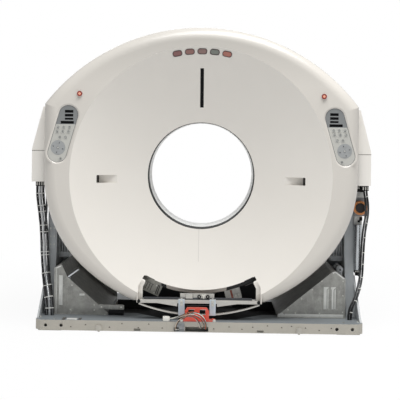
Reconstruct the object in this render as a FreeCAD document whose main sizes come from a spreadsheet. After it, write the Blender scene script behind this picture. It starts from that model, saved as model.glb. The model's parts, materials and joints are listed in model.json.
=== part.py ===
"""A tilting computed-tomography gantry, its lower and side base covers taken off.

Millimetres, +Z up, +X to the right of someone who faces the front, front towards -Y.
The origin is on the floor under the centre of the bore. What tilts and what spins is drawn
about the centre of the bore and lifted by axis_height.
"""
import FreeCAD, Part
import math
import os
import re
import Sketcher

Vector = FreeCAD.Vector
doc = FreeCAD.newDocument("gantry")
sheet = doc.addObject("Spreadsheet::Sheet", "sizes")

# Driving dimensions: name and plain number, in millimetres or degrees.
DIMENSIONS = [
    # axes and bore
    ("ground_gap", 25),
    ("bore_radius", 360),
    ("tilt_limit", 30),
    # moulded covers
    ("wall", 8),
    ("cover_half_width", 1035),
    ("cover_front", 430),
    ("rim_depth", 100),
    ("edge_round", 84),
    ("dome_radius", 1300),
    ("dome_top", 985),
    ("oval_margin", 35),
    ("oval_squareness", 85),
    ("front_cut", 85),
    ("rear_cut", 105),
    ("crease_margin", 48),
    ("dish_sweep", 1850),
    ("rim_step", 2),
    ("funnel_depth", 200),
    ("neck_length", 10),
    ("top_cover_foot", 170),
    # opening left by the lower front cover
    ("opening_rise", 75),
    ("opening_half_angle", 29.2),
    ("opening_half_width", 400),
    ("opening_return", 46),
    ("ledge_width", 28),
    ("ledge_thickness", 6),
    ("ledge_inner", 300),
    # lamps, scan-plane slots and stop buttons
    ("lamp_count", 5),
    ("lamp_inset", 34),
    ("lamp_step", 5.7),
    ("lamp_length", 62),
    ("lamp_height", 34),
    ("lamp_proud", 3),
    ("lamp_depth", 16),
    ("fit_gap", 0.3),
    ("slot_start", 100),
    ("slot_end", 105),
    ("slot_width", 24),
    ("window_sink", 3),
    ("window_thickness", 4),
    ("recess_start", 200),
    ("recess_length", 130),
    ("recess_half_height", 26),
    ("recess_drop", 24),
    ("stop_inset", 240),
    ("stop_height", 536),
    ("stop_radius", 16.5),
    ("stop_proud", 9),
    ("stop_stem_radius", 9),
    ("stop_collar_radius", 21),
    ("stop_collar_proud", 3),
    ("stop_travel", 4),
    # operator panels
    ("panel_inset", 131),
    ("panel_height", 273),
    ("panel_lean", 16),
    ("panel_centres", 258),
    ("panel_radius", 61.6),
    ("panel_gap", 0.8),
    ("panel_sink", 7),
    ("panel_plate", 12),
    ("panel_flange", 14),
    ("bezel_width", 11),
    ("key_width", 24),
    ("key_height", 19),
    ("key_pitch", 37),
    ("key_proud", 2.5),
    ("key_depth", 7),
    ("key_travel", 1),
    ("pad_radius", 48),
    ("pad_dot_radius", 9),
    ("pad_dot_pitch", 33),
    # bore liner, tilting frame and its shafts
    ("liner_wall", 6),
    ("frame_plate_front", 160),
    ("frame_plate", 35),
    ("ring_margin", 20),
    ("ring_gap", 40),
    ("frame_arm_half", 120),
    ("cheek_width", 50),
    ("arm_gap", 40),
    ("crown_half_width", 150),
    ("apron_half_width", 430),
    ("apron_gap", 5),
    ("shaft_radius", 60),
    ("shaft_running_gap", 0.06),
    ("rail_offset", 105),
    ("rail_width", 30),
    ("rail_margin", 10),
    ("rail_height", 30),
    ("bearing_height", 45),
    ("bearing_step", 10),
    ("bearing_width", 50),
    # rotor
    ("spigot_gap", 25),
    ("spigot_front", 150),
    ("web_front", 60),
    ("web_thickness", 25),
    ("drum_wall", 20),
    ("drum_outer", 778),
    ("drum_front", 300),
    ("drum_lip_height", 23),
    ("drum_lip_thickness", 12),
    ("tube_radius", 95),
    ("tube_length", 300),
    ("tube_gap", 30),
    ("detector_height", 100),
    ("detector_gap", 18),
    ("detector_half_angle", 28),
    ("detector_depth", 110),
    ("block_height", 72),
    ("cooler_angle", -24),
    ("cooler_width", 150),
    ("power_angle", 16),
    ("power_width", 104),
    ("weight_angle", 45),
    ("left_weight_width", 171),
    ("right_weight_width", 186),
    # lower crossmember of the tilting unit
    ("middle_shift", -13),
    ("cross_inset", 5),
    ("cross_depth", 20),
    ("cross_rise", 18),
    ("cross_height", 20),
    ("buffer_length", 12),
    ("strip_thickness", 8),
    ("strip_depth", 30),
    ("strip_drop", 3),
    ("strap_spacing", 203),
    ("strap_width", 40),
    ("strap_thickness", 6),
    # base
    ("base_end", 15),
    ("base_front_step", 50),
    ("base_top", 70),
    ("foot_thickness", 4),
    ("foot_width", 150),
    ("foot_inset", 20),
    ("base_corner", 36),
    ("side_beam_width", 460),
    ("front_beam_depth", 250),
    ("middle_beam_depth", 90),
    ("neck_outer", 420),
    ("neck_inner", 230),
    ("dolly_hole_radius", 11),
    ("dolly_hole_inset", 70),
    ("dolly_hole_pitch", 100),
    ("dolly_hole_height", 36),
    ("dolly_hole_depth", 40),
    ("anchor_end", 120),
    ("anchor_inset", 50),
    ("anchor_radius", 9),
    ("lift_slot_offset", 397),
    ("lift_slot_length", 42),
    ("lift_slot_height", 14),
    ("pocket_width", 150),
    ("pocket_height", 30),
    ("pocket_depth", 60),
    ("jack_offset", 645),
    ("jack_block", 32),
    ("jack_proud", 14),
    ("jack_screw_radius", 7),
    # stands and their bearings
    ("stand_inset", 50),
    ("stand_width", 60),
    ("stand_head_radius", 150),
    ("stand_half_depth", 140),
    ("stand_shoulder", 500),
    ("stand_foot_half", 240),
    ("gusset_plate", 13),
    ("gusset_reach", 430),
    ("gusset_height", 260),
    ("bush_outer", 85),
    ("shelf_reach", 75),
    ("shelf_half_depth", 45),
    ("shelf_drop", 550),
    ("shelf_thickness", 36),
    ("fin_count", 4),
    ("fin_pitch", 18),
    ("fin_thickness", 7),
    ("fin_height", 124),
    ("carrier_half_depth", 55),
    ("carrier_reach", 440),
    ("carrier_thickness", 5),
    # sheet-metal boxes beside the stands
    ("box_gap", 15),
    ("box_front", 300),
    ("box_depth", 560),
    ("box_wall", 12),
    ("guard_plate", 6),
    ("left_guard_rise", 90),
    ("right_guard_rise", 50),
    ("left_shoulder_height", 308),
    ("left_top_height", 334),
    ("left_top_width", 47),
    ("left_slope_height", 250),
    ("left_slope_width", 86),
    ("left_toe_width", 361),
    ("right_shoulder_height", 262),
    ("right_top_height", 312),
    ("right_top_width", 65),
    ("right_slope_height", 305),
    ("right_slope_width", 90),
    ("right_toe_width", 450),
    ("box_toe_height", 13),
    ("box_flange", 24),
    ("box_flange_proud", 4),
    ("box_rib_width", 34),
    ("box_rib_height", 150),
    ("box_rib_pitch", 46),
    ("box_rib_proud", 3),
    # fixed side covers
    ("side_gap", 10),
    ("side_cover_width", 85),
    ("side_cover_half_depth", 300),
    ("side_wall", 5),
    ("side_top", 455),
    ("side_knee", 175),
    ("side_seam", 160),
    ("side_bottom", -48),
    # red transport lock
    ("lock_half_width", 78),
    ("lock_height", 92),
    ("lock_inset", 10),
    ("lock_plate", 8),
    ("lock_foot_left", 110),
    ("lock_foot_right", 121),
    ("lock_foot_depth", 70),
    ("lock_window_width", 38),
    ("lock_window_top", 76),
    ("lock_window_low", 42),
    ("lock_window_gap", 35),
    ("lock_bolt_radius", 9),
    # service duct, cable looms and coil on the right stand
    ("duct_width", 54),
    ("duct_straight", 100),
    ("duct_top", 318),
    ("duct_bottom", 625),
    ("loom_diameter", 18),
    ("loom_spacing", 20),
    ("coil_wire", 8),
    ("coil_radius", 36),
    ("coil_pitch", 9),
    ("coil_turns", 3),
    ("coil_reach", 39),
    ("coil_drop", 205),
    ("bracket_plate", 6),
    ("bracket_step", 10),
    ("harness_diameter", 10),
    ("plug_length", 34),
    ("plug_width", 26),
    ("plug_height", 24),
]

# Sizes that follow from others: name and formula.
DERIVED = [
    ("drum_inner", "drum_outer - drum_wall"),
    ("drum_lip", "drum_inner - drum_lip_height"),
    ("tube_circle", "drum_lip - tube_radius - tube_gap"),
    ("detector_outer", "drum_inner - detector_gap"),
    ("detector_inner", "detector_outer - detector_height"),
    ("rotor_reach", "drum_outer + block_height"),
    ("frame_ring_outer", "rotor_reach + ring_margin"),
    ("oval_height", "frame_ring_outer + oval_margin"),
    ("oval_side_radius", "oval_height - oval_squareness"),
    ("dome_drop", "dome_radius - dome_top"),
    ("axis_height", "base_top + ground_gap + oval_height"),
    ("front_lowest", "oval_height - front_cut"),
    ("rear_lowest", "oval_height - rear_cut"),
    ("dish_radius", "oval_height - crease_margin"),
    ("rim_radius", "bore_radius + rim_step"),
    ("opening_radius", "front_lowest - opening_rise"),
    ("lamp_circle", "dish_radius - lamp_inset"),
    ("slot_inner", "rim_radius + slot_start"),
    ("slot_outer", "lamp_circle - slot_end"),
    ("recess_inner", "rim_radius + recess_start"),
    ("recess_outer", "recess_inner + recess_length"),
    ("stop_offset", "cover_half_width - stop_inset"),
    ("panel_offset", "cover_half_width - panel_inset"),
    ("stand_inner", "cover_half_width - stand_inset"),
    ("stand_outer", "stand_inner + stand_width"),
    ("frame_arm_outer", "stand_inner - arm_gap"),
    ("frame_arm_inner", "frame_arm_outer - cheek_width"),
    ("rail_bottom", "oval_height - rail_margin"),
    ("spigot_inner", "bore_radius + spigot_gap"),
    ("frame_ring_inner", "bore_radius + ring_gap"),
    ("bearing_inner", "frame_ring_inner + bearing_step"),
    ("bearing_outer", "bearing_inner + bearing_height"),
    ("cross_front", "cover_front - cross_inset"),
    ("cross_top", "front_lowest - cross_rise"),
    ("base_half_length", "stand_outer + base_end"),
    ("base_half_depth", "cover_front + base_front_step"),
    ("foot_outer", "base_half_length - foot_inset"),
    ("foot_inner", "foot_outer - foot_width"),
    ("side_beam_inner", "base_half_length - side_beam_width"),
    ("dolly_hole_outer", "base_half_length - dolly_hole_inset"),
    ("anchor_offset", "base_half_length - anchor_end"),
    ("box_outer", "stand_inner - box_gap"),
    ("side_cover_reach", "cover_half_width + side_gap + side_cover_width"),
    ("lock_front", "base_half_depth - lock_inset"),
    ("coil_across", "stand_outer + coil_reach"),
    ("bracket_front", "stand_half_depth + bracket_step"),
]
NAMES = {name for name, content in DIMENSIONS + DERIVED}
for row, (name, content) in enumerate(DIMENSIONS + DERIVED, start=1):
    sheet.set(f"A{row}", name)
    sheet.set(f"B{row}", f"={content}")
    sheet.setAlias(f"B{row}", name)
doc.recompute()

LEFT = "-1"
RIGHT = "1"


def formula(text):
    """The text with each dimension's name pointed at its cell."""
    return re.sub(r"[a-z][a-z_]+", lambda word: f"sizes.{word[0]}" if word[0] in NAMES else word[0], str(text))


probe = doc.addObject("Part::Box", "probe")


def value(text):
    """The number that a formula of dimensions comes to."""
    return float(probe.evalExpression(formula(text)))


def bind(thing, **formulas):
    """Binds properties to formulas of dimensions; a double underscore stands for a dot."""
    for prop, text in formulas.items():
        thing.setExpression(prop.replace("__", "."), formula(text))
    return thing


def hold_point(sketch, geometry, end, across, up):
    """Fixes one end (or the centre) of a sketched curve by its two distances from the sketch's origin."""
    for kind, text in (("DistanceX", across), ("DistanceY", up)):
        number = sketch.addConstraint(Sketcher.Constraint(kind, -1, 1, geometry, end, value(text)))
        sketch.setExpression(f"Constraints[{number}]", formula(text))


def hold_radius(sketch, geometry, text):
    number = sketch.addConstraint(Sketcher.Constraint("Radius", geometry, value(text)))
    sketch.setExpression(f"Constraints[{number}]", formula(text))


def draw_circle(sketch, across, up, radius):
    circle = Part.Circle(Vector(value(across), value(up), 0), Vector(0, 0, 1), value(radius))
    geometry = sketch.addGeometry(circle)
    hold_point(sketch, geometry, 3, across, up)
    hold_radius(sketch, geometry, radius)


def draw_outline(sketch, corners):
    """Draws a closed outline. A corner is (across, up), or (across, up, radius, turn) where an arc of
    less than a half circle leads to the next corner: turn 1 bends to the left, -1 to the right."""
    points = [Vector(value(corner[0]), value(corner[1]), 0) for corner in corners]
    curves = []
    for index, corner in enumerate(corners):
        start = points[index]
        end = points[(index + 1) % len(points)]
        if len(corner) == 2:
            curves.append((sketch.addGeometry(Part.LineSegment(start, end)), 1, 2))
            continue
        radius = value(corner[2])
        turn = corner[3]
        chord = end - start
        reach = math.sqrt(max(radius**2 - chord.Length**2 / 4, 0))
        centre = (start + end) / 2 + Vector(-chord.y, chord.x, 0).normalize() * reach * turn
        first, last = (start, end) if turn > 0 else (end, start)
        low = math.atan2(first.y - centre.y, first.x - centre.x)
        high = math.atan2(last.y - centre.y, last.x - centre.x)
        if high < low:
            high += 2 * math.pi
        circle = Part.Circle(centre, Vector(0, 0, 1), radius)
        geometry = sketch.addGeometry(Part.ArcOfCircle(circle, low, high))
        hold_radius(sketch, geometry, corner[2])
        curves.append((geometry, 1, 2) if turn > 0 else (geometry, 2, 1))
    for index, (geometry, start_end, far_end) in enumerate(curves):
        following, following_start, following_end = curves[(index + 1) % len(curves)]
        sketch.addConstraint(Sketcher.Constraint("Coincident", geometry, far_end, following, following_start))
        hold_point(sketch, geometry, start_end, corners[index][0], corners[index][1])


def capsule(across, up, radius, half):
    """An upright capsule's corners; half is from its middle to the centre of either round end."""
    left, right = f"({across}) - ({radius})", f"({across}) + ({radius})"
    low, high = f"({up}) - ({half})", f"({up}) + ({half})"
    return [
        (left, high, radius, -1),
        (across, f"{high} + ({radius})", radius, -1),
        (right, high),
        (right, low, radius, -1),
        (across, f"{low} - ({radius})", radius, -1),
        (left, low),
    ]


def rectangle(left, right, low, high):
    return [(left, low), (right, low), (right, high), (left, high)]


class Piece:
    """One sub-part as a body, with short calls for its sketches and features.

    The front plane (XZ) is measured towards the front, the side plane (YZ) towards +X and the
    floor plane (XY) upwards, so an offset of cover_front is the covers' front face."""

    def __init__(self, label, height="0"):
        self.body = doc.addObject("PartDesign::Body", label)
        self.body.Label = label
        bind(self.body, Placement__Base__z=height)

    def sketch(self, plane, offset="0", up="0"):
        sketch = self.body.newObject("Sketcher::SketchObject", "profile")
        roles = {feature.Role: feature for feature in self.body.Origin.OriginFeatures}
        sketch.AttachmentSupport = (roles[f"{plane}_Plane"], [""])
        sketch.MapMode = "FlatFace"
        bind(sketch, AttachmentOffset__Base__z=offset, AttachmentOffset__Base__y=up)
        return sketch

    def feature(self, kind, sketch, **formulas):
        made = self.body.newObject(f"PartDesign::{kind}", kind.lower())
        made.Profile = sketch
        bind(made, **formulas)
        return made

    def pad(self, plane, offset, length, *outlines, back=False, holes=()):
        sketch = self.sketch(plane, offset)
        for outline in outlines:
            draw_outline(sketch, outline)
        for hole in holes:
            draw_circle(sketch, *hole)
        made = self.feature("Pad", sketch, Length=length)
        made.Reversed = back
        doc.recompute()
        return made

    def pocket(self, plane, offset, length, *outlines, ahead=False, holes=()):
        """Cuts away from the sketch's normal, or along it if ahead."""
        doc.recompute()
        before = self.body.Shape.Volume
        sketch = self.sketch(plane, offset)
        for outline in outlines:
            draw_outline(sketch, outline)
        for hole in holes:
            draw_circle(sketch, *hole)
        made = self.feature("Pocket", sketch, Length=length)
        made.Reversed = ahead
        doc.recompute()
        assert self.body.Shape.Volume < before - 1, f"a pocket of {self.body.Label} cut nothing"
        return made

    def turned(self, outline):
        """Revolves a profile of (along Y, radius) corners about the Y axis of the body."""
        sketch = self.sketch("YZ")
        draw_outline(sketch, outline)
        made = self.feature("Revolution", sketch)
        made.ReferenceAxis = (sketch, ["H_Axis"])
        made.Angle = 360
        doc.recompute()
        return made

    def round_edges(self, radius, wanted):
        """Fillets the edges of the body's tip that the test picks."""
        doc.recompute()
        base = self.body.Tip
        names = [f"Edge{n}" for n, edge in enumerate(base.Shape.Edges, start=1) if wanted(edge)]
        made = self.body.newObject("PartDesign::Fillet", "fillet")
        made.Base = (base, names)
        bind(made, Radius=radius)
        doc.recompute()
        return made


def box(label, left, right, front, back, low, high):
    """A block between two planes each way; front and back are Y values."""
    made = doc.addObject("Part::Box", label)
    bind(made, Length=f"({right}) - ({left})", Width=f"({back}) - ({front})", Height=f"({high}) - ({low})")
    return bind(made, Placement__Base__x=left, Placement__Base__y=front, Placement__Base__z=low)


TOWARDS = {
    "up": FreeCAD.Rotation(),
    "right": FreeCAD.Rotation(Vector(0, 1, 0), 90),
    "front": FreeCAD.Rotation(Vector(1, 0, 0), 90),
}


def cylinder(label, radius, length, towards, across, along, up):
    """A round bar that starts at a point and runs upwards, to the right or to the front."""
    made = doc.addObject("Part::Cylinder", label)
    made.Placement = FreeCAD.Placement(Vector(0, 0, 0), TOWARDS[towards])
    bind(made, Radius=radius, Height=length)
    return bind(made, Placement__Base__x=across, Placement__Base__y=along, Placement__Base__z=up)


def joined(label, *pieces):
    made = doc.addObject("Part::MultiFuse", label)
    made.Shapes = list(pieces)
    return made


def cut(label, base, *tools):
    made = doc.addObject("Part::Cut", label)
    made.Base = base
    made.Tool = tools[0] if len(tools) == 1 else joined(f"{label}_tools", *tools)
    return made


def mirrored(label, source, normal=Vector(1, 0, 0)):
    made = doc.addObject("Part::Mirroring", label)
    made.Source = source
    made.Normal = normal
    return made


def shaped(label, shape, height="0"):
    """A sub-part whose shape is worked out here from the sheet's numbers."""
    made = doc.addObject("Part::Feature", label)
    made.Shape = shape
    made.Placement = FreeCAD.Placement(Vector(0, 0, value(height)), FreeCAD.Rotation()).multiply(shape.Placement)
    return made


SUB_PARTS = []


def keep(thing, label=None):
    """Counts a finished object among the sub-parts that are written out."""
    if label:
        thing.Label = label
    SUB_PARTS.append(thing)
    return thing


# ---------------------------------------------------------------- moulded covers
# The covers' outline is a flat dome over upright sides over half an oval of three arcs.

OVAL_SPAN = "(cover_half_width^2 + oval_height^2 - 2 * cover_half_width * oval_side_radius)"
OVAL_BIG = f"({OVAL_SPAN} / (2 * (oval_height - oval_side_radius)))"
OVAL_RISE = f"({OVAL_BIG} - oval_height)"
OVAL_SHIFT = "(cover_half_width - oval_side_radius)"


def cover_outline(inset, lowest):
    """The covers' outline, moved in by inset and cut level at lowest below the axis."""
    side = f"(cover_half_width - ({inset}))"
    big = f"({OVAL_BIG} - ({inset}))"
    small = f"(oval_side_radius - ({inset}))"
    joint_x = f"({big} * {OVAL_SHIFT} / ({OVAL_BIG} - oval_side_radius))"
    joint_z = f"({OVAL_RISE} - {big} * {OVAL_RISE} / ({OVAL_BIG} - oval_side_radius))"
    level = f"(({lowest}) - ({inset}))"
    level_x = f"sqrt({big}^2 - ({OVAL_RISE} + {level})^2)"
    shoulder = f"(sqrt((dome_radius - ({inset}))^2 - {side}^2) - dome_drop)"
    return [
        (f"-{level_x}", f"-{level}"),
        (level_x, f"-{level}", big, 1),
        (joint_x, joint_z, small, 1),
        (side, "0"),
        (side, shoulder, f"dome_radius - ({inset})", 1),
        (f"-{side}", shoulder),
        (f"-{side}", "0", small, 1),
        (f"-{joint_x}", joint_z, big, 1),
    ]


def rim_block(label, inset, lowest):
    """The solid behind a cover's face, its front edge rounded; a smaller one hollows it out."""
    piece = Piece(label, "axis_height")
    face = f"cover_front - ({inset})"
    piece.pad("XZ", face, "rim_depth", cover_outline(inset, lowest), back=True)
    front = -value(face)
    piece.round_edges(
        f"edge_round - ({inset})",
        lambda edge: abs(edge.BoundBox.YMin - front) < 0.01 and abs(edge.BoundBox.YMax - front) < 0.01,
    )
    return piece.body


DISH_START = ("-cover_front", "dish_radius", "dish_sweep", -1)
DISH_END = ("-funnel_depth", "rim_radius")


def dish_air(label):
    """The space in front of the dish, which is cut out of whatever reaches into it."""
    piece = Piece(label, "axis_height")
    piece.turned([DISH_START, DISH_END, ("0", "rim_radius"), ("0", "0"), ("-2 * cover_front", "0"),
                  ("-2 * cover_front", "dish_radius")])
    return piece.body


def dish_wall(label, sink, thickness):
    """A turned layer that lies sink behind the dish's surface."""
    piece = Piece(label, "axis_height")
    piece.turned([
        (f"-cover_front + ({sink})", "dish_radius", "dish_sweep", -1),
        (f"-funnel_depth + ({sink})", "rim_radius"),
        (f"-funnel_depth + ({sink}) + ({thickness})", "rim_radius", "dish_sweep", 1),
        (f"-cover_front + ({sink}) + ({thickness})", "dish_radius"),
    ])
    return piece.body


def neck(label):
    """The short collar on which the funnel meets the bore liner."""
    piece = Piece(label, "axis_height")
    piece.turned([
        ("-funnel_depth", "rim_radius"),
        ("-funnel_depth + neck_length", "rim_radius"),
        ("-funnel_depth + neck_length", "rim_radius + wall"),
        ("-funnel_depth", "rim_radius + wall"),
    ])
    return piece.body


def hollow_cover(prefix, lowest):
    """Rim, face, dish and neck of one cover as a thin shell facing the front."""
    shell = cut(f"{prefix}_rim", rim_block(f"{prefix}_outside", "0", lowest),
                rim_block(f"{prefix}_inside", "wall", lowest))
    disc = cylinder(f"{prefix}_disc", "dish_radius", "2 * cover_front", "front", "0", "0", "axis_height")
    ring = cut(f"{prefix}_ring", shell, disc)
    funnel = dish_wall(f"{prefix}_funnel", "0", "wall * 1.1")
    return joined(f"{prefix}_shell", ring, funnel, neck(f"{prefix}_neck"))


def opening_outline(grow):
    """The outline of the gap that the lower front cover leaves, made larger by grow."""
    radius = f"(opening_radius - ({grow}))"
    half = f"(opening_half_width + ({grow}))"
    angle = f"(opening_half_angle + ({grow}) * 0.075)"
    top_x, top_z = f"{radius} * sin({angle})", f"-{radius} * cos({angle})"
    side_z = f"-{half} / tan({angle})"
    return [
        (f"-{top_x}", top_z, radius, 1),
        (top_x, top_z),
        (half, side_z),
        (half, "-oval_height - 60"),
        (f"-{half}", "-oval_height - 60"),
        (f"-{half}", side_z),
    ]


def opening_block(label, grow, front, back):
    piece = Piece(label, "axis_height")
    piece.pad("XZ", front, f"({front}) - ({back})", opening_outline(grow), back=True)
    return piece.body


def dish_depth(radius):
    """How far in front of the axis the dish's surface lies at a radius."""
    start = Vector(-value("cover_front"), value("dish_radius"), 0)
    end = Vector(-value("funnel_depth"), value("rim_radius"), 0)
    chord = end - start
    sweep = value("dish_sweep")
    away = math.sqrt(sweep**2 - chord.Length**2 / 4)
    centre = (start + end) / 2 + Vector(chord.y, -chord.x, 0).normalize() * away
    return -(centre.x + math.sqrt(sweep**2 - (radius - centre.y) ** 2))


def dish_slope(radius):
    """The angle between the dish's surface and the covers' face at a radius, in degrees."""
    step = 1.0
    return math.degrees(math.atan((dish_depth(radius + step) - dish_depth(radius - step)) / (2 * step)))


def lamp_plugs(grow, proud, depth):
    """Pill-shaped plugs square to the dish, one for each indicator lamp, about the bore's centre."""
    radius = value("lamp_height") / 2 + grow
    half = (value("lamp_length") - value("lamp_height")) / 2
    left, right = Vector(-half, 0, 0), Vector(half, 0, 0)
    up = Vector(0, 0, radius)
    pill = Part.Wire([
        Part.LineSegment(left + up, right + up).toShape(),
        Part.Arc(right + up, right + Vector(radius, 0, 0), right - up).toShape(),
        Part.LineSegment(right - up, left - up).toShape(),
        Part.Arc(left - up, left - Vector(radius, 0, 0), left + up).toShape(),
    ])
    plug = Part.Face(pill).extrude(Vector(0, proud + depth, 0))
    plug.translate(Vector(0, -proud, 0))
    circle = value("lamp_circle")
    plug.rotate(Vector(0, 0, 0), Vector(1, 0, 0), -dish_slope(circle))
    plug.translate(Vector(0, -dish_depth(circle), circle))
    plugs = []
    count = int(value("lamp_count"))
    for number in range(count):
        turned = plug.copy()
        turned.rotate(Vector(0, 0, 0), Vector(0, 1, 0), (number - (count - 1) / 2) * value("lamp_step"))
        plugs.append(turned)
    return Part.makeCompound(plugs)


def slot_blocks(label, gap):
    """The upright slot above the bore, through which the scan plane's light shines."""
    half = f"(slot_width / 2 - ({gap}))"
    return box(label, f"-{half}", half, "-cover_front", "-funnel_depth + wall",
               f"axis_height + slot_inner + ({gap})", f"axis_height + slot_outer - ({gap})")


def recess_floor():
    """The side recesses' flat floor lies where the dish's surface meets their inner end."""
    return dish_depth(value("recess_inner"))


def side_recess(label, side, grow):
    """A notch in the dish beside the bore; its outer end wall carries a light slot."""
    inner = f"({side}) * (recess_inner - ({grow}))"
    outer = f"({side}) * (recess_outer + ({grow}))"
    left, right = (outer, inner) if side == LEFT else (inner, outer)
    floor = f"{-recess_floor()} + ({grow})"
    return box(label, left, right, "-cover_front", floor, f"axis_height - recess_drop - recess_half_height - ({grow})",
               f"axis_height - recess_drop + recess_half_height + ({grow})")


def recess_window(side):
    """The thin dark pane on the outer end wall of a side recess."""
    edge = f"({side}) * recess_outer"
    inner = f"({side}) * (recess_outer - window_thickness)"
    left, right = (edge, inner) if side == LEFT else (inner, edge)
    outer_surface = dish_depth(value("recess_outer"))
    front = f"{-outer_surface} + window_thickness"
    return box(f"side_window_{'left' if side == LEFT else 'right'}", left, right, front, f"{-recess_floor()}",
               "axis_height - recess_drop - recess_half_height + window_sink",
               "axis_height - recess_drop + recess_half_height - window_sink")


def panel_capsule(grow):
    return capsule("0", "0", f"panel_radius + ({grow})", "panel_centres / 2")


def placed_on_left_panel(thing):
    """Leans a body drawn about the panel's centre and moves it to the left panel's place."""
    thing.Placement = FreeCAD.Placement(Vector(0, 0, 0), FreeCAD.Rotation(Vector(0, 1, 0), value("panel_lean")))
    return bind(thing, Placement__Base__x="-panel_offset", Placement__Base__z="axis_height + panel_height")


def panel_well(label):
    """The tapering well that is cut through the cover for an operator panel."""
    piece = Piece(label)
    piece.pad("XZ", "cover_front + 1", "panel_sink + panel_plate + panel_flange + 1", panel_capsule("panel_gap"),
              back=True)
    loft = piece.body.newObject("PartDesign::AdditiveLoft", "bezel")
    near = piece.sketch("XZ", "cover_front")
    draw_outline(near, panel_capsule("bezel_width"))
    far = piece.sketch("XZ", "cover_front - panel_sink")
    draw_outline(far, panel_capsule("panel_gap"))
    loft.Profile = near
    loft.Sections = [far]
    doc.recompute()
    return placed_on_left_panel(piece.body)


def panel_frame(label):
    """The thicker ring behind the cover's face that holds the panel and its sloping bezel."""
    piece = Piece(label)
    piece.pad("XZ", "cover_front - wall / 2", "panel_plate + panel_sink - wall / 2",
              panel_capsule("bezel_width + wall / 2"), back=True)
    return placed_on_left_panel(piece.body)


def stop_hole(label, side):
    return cylinder(label, "stop_stem_radius + fit_gap", "2 * rim_depth", "front", f"({side}) * stop_offset",
                    "-cover_front + rim_depth", "axis_height + stop_height")


def stop_collar(label, side):
    """The low raised ring round a stop button, moulded with the cover."""
    ring = cylinder(f"{label}_disc", "stop_collar_radius", "stop_collar_proud + wall / 2", "front",
                    f"({side}) * stop_offset", "-cover_front + wall / 2", "axis_height + stop_height")
    sunk = cylinder(f"{label}_sink", "stop_radius + fit_gap", "stop_collar_proud", "front",
                    f"({side}) * stop_offset", "-cover_front", "axis_height + stop_height")
    return cut(label, ring, sunk)


def make_covers():
    air = dish_air("dish_air")
    shell = hollow_cover("front", "front_lowest")
    wells = panel_well("left_well")
    frames = panel_frame("left_well_frame")
    lip = opening_block("opening_lip", "wall", "cover_front - wall / 2", "cover_front - wall - opening_return")
    lip_hollow = opening_block("opening_lip_hollow", "0", "2 * cover_front", "0")
    lip_below = box("opening_lip_below", "-cover_half_width", "cover_half_width", "-2 * cover_front", "0",
                    "0", "axis_height - front_lowest")
    lip_ring = cut("opening_return", lip, lip_hollow, lip_below, air)
    lip_back = "cover_front - wall - opening_return"
    ledge = opening_block("opening_ledge", "wall", f"{lip_back} + ledge_thickness", lip_back)
    ledge_hollow = opening_block("opening_ledge_hollow", "-ledge_width", "2 * cover_front", "0")
    ledge_middle = box("opening_ledge_middle", "-ledge_inner", "ledge_inner", "-2 * cover_front", "0", "0",
                       "axis_height")
    ledges = cut("opening_ledges", ledge, ledge_hollow, ledge_middle, box(
        "opening_ledge_below", "-cover_half_width", "cover_half_width", "-2 * cover_front", "0", "0",
        "axis_height - front_lowest"), dish_air("ledge_air"))
    pockets = [cut(f"recess_pocket_{n}", side_recess(f"recess_outside_{n}", side, "side_wall"), air)
               for n, side in enumerate((LEFT, RIGHT))]
    solid = joined("front_solid", shell, lip_ring, frames, mirrored("right_well_frame", frames), *pockets,
                   stop_collar("left_collar", LEFT), stop_collar("right_collar", RIGHT))
    lamp_holes = shaped("lamp_holes", lamp_plugs(value("fit_gap"), value("wall"), value("lamp_depth")),
                        "axis_height")
    opening = opening_block("front_opening", "0", "cover_front + wall", "cover_front - rim_depth - wall")
    opened = joined("front_opened", cut("front_with_gap", solid, opening), ledges)
    front = cut("front_cover_cut", opened, wells, mirrored("right_well", wells), lamp_holes,
                slot_blocks("scan_slot", "0"), side_recess("recess_left", LEFT, "0"),
                side_recess("recess_right", RIGHT, "0"), stop_hole("left_stop_hole", LEFT),
                stop_hole("right_stop_hole", RIGHT))
    keep(front, "front_cover")

    rear_shell = hollow_cover("back", "rear_lowest")
    keep(mirrored("rear_cover_mirror", rear_shell, Vector(0, 1, 0)), "rear_cover")

    top = Piece("top_cover", "axis_height")
    side, inside = "cover_half_width", "(cover_half_width - wall)"
    shoulder = "(sqrt(dome_radius^2 - cover_half_width^2) - dome_drop)"
    shoulder_inside = f"(sqrt((dome_radius - wall)^2 - {inside}^2) - dome_drop)"
    rim = "(cover_front - rim_depth)"
    top.pad("XZ", rim, f"2 * {rim}", [
        (side, "top_cover_foot"),
        (side, shoulder, "dome_radius", 1),
        (f"-{side}", shoulder),
        (f"-{side}", "top_cover_foot"),
        (f"-{inside}", "top_cover_foot"),
        (f"-{inside}", shoulder_inside, "dome_radius - wall", -1),
        (inside, shoulder_inside),
        (inside, "top_cover_foot"),
    ], back=True)
    keep(top.body)


def make_windows():
    """Dark panes of the three light slots, as one group of like pieces."""
    slot = doc.addObject("Part::Common", "top_window")
    slot.Base = slot_blocks("top_window_block", "fit_gap")
    slot.Tool = dish_wall("window_layer", "window_sink", "window_thickness")
    windows = doc.addObject("Part::Compound", "laser_windows")
    windows.Links = [slot, recess_window(LEFT), recess_window(RIGHT)]
    keep(windows)


def make_lamps():
    plugs = lamp_plugs(0, value("lamp_proud"), value("wall"))
    keep(shaped("indicator_lamps", plugs, "axis_height"))


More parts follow.
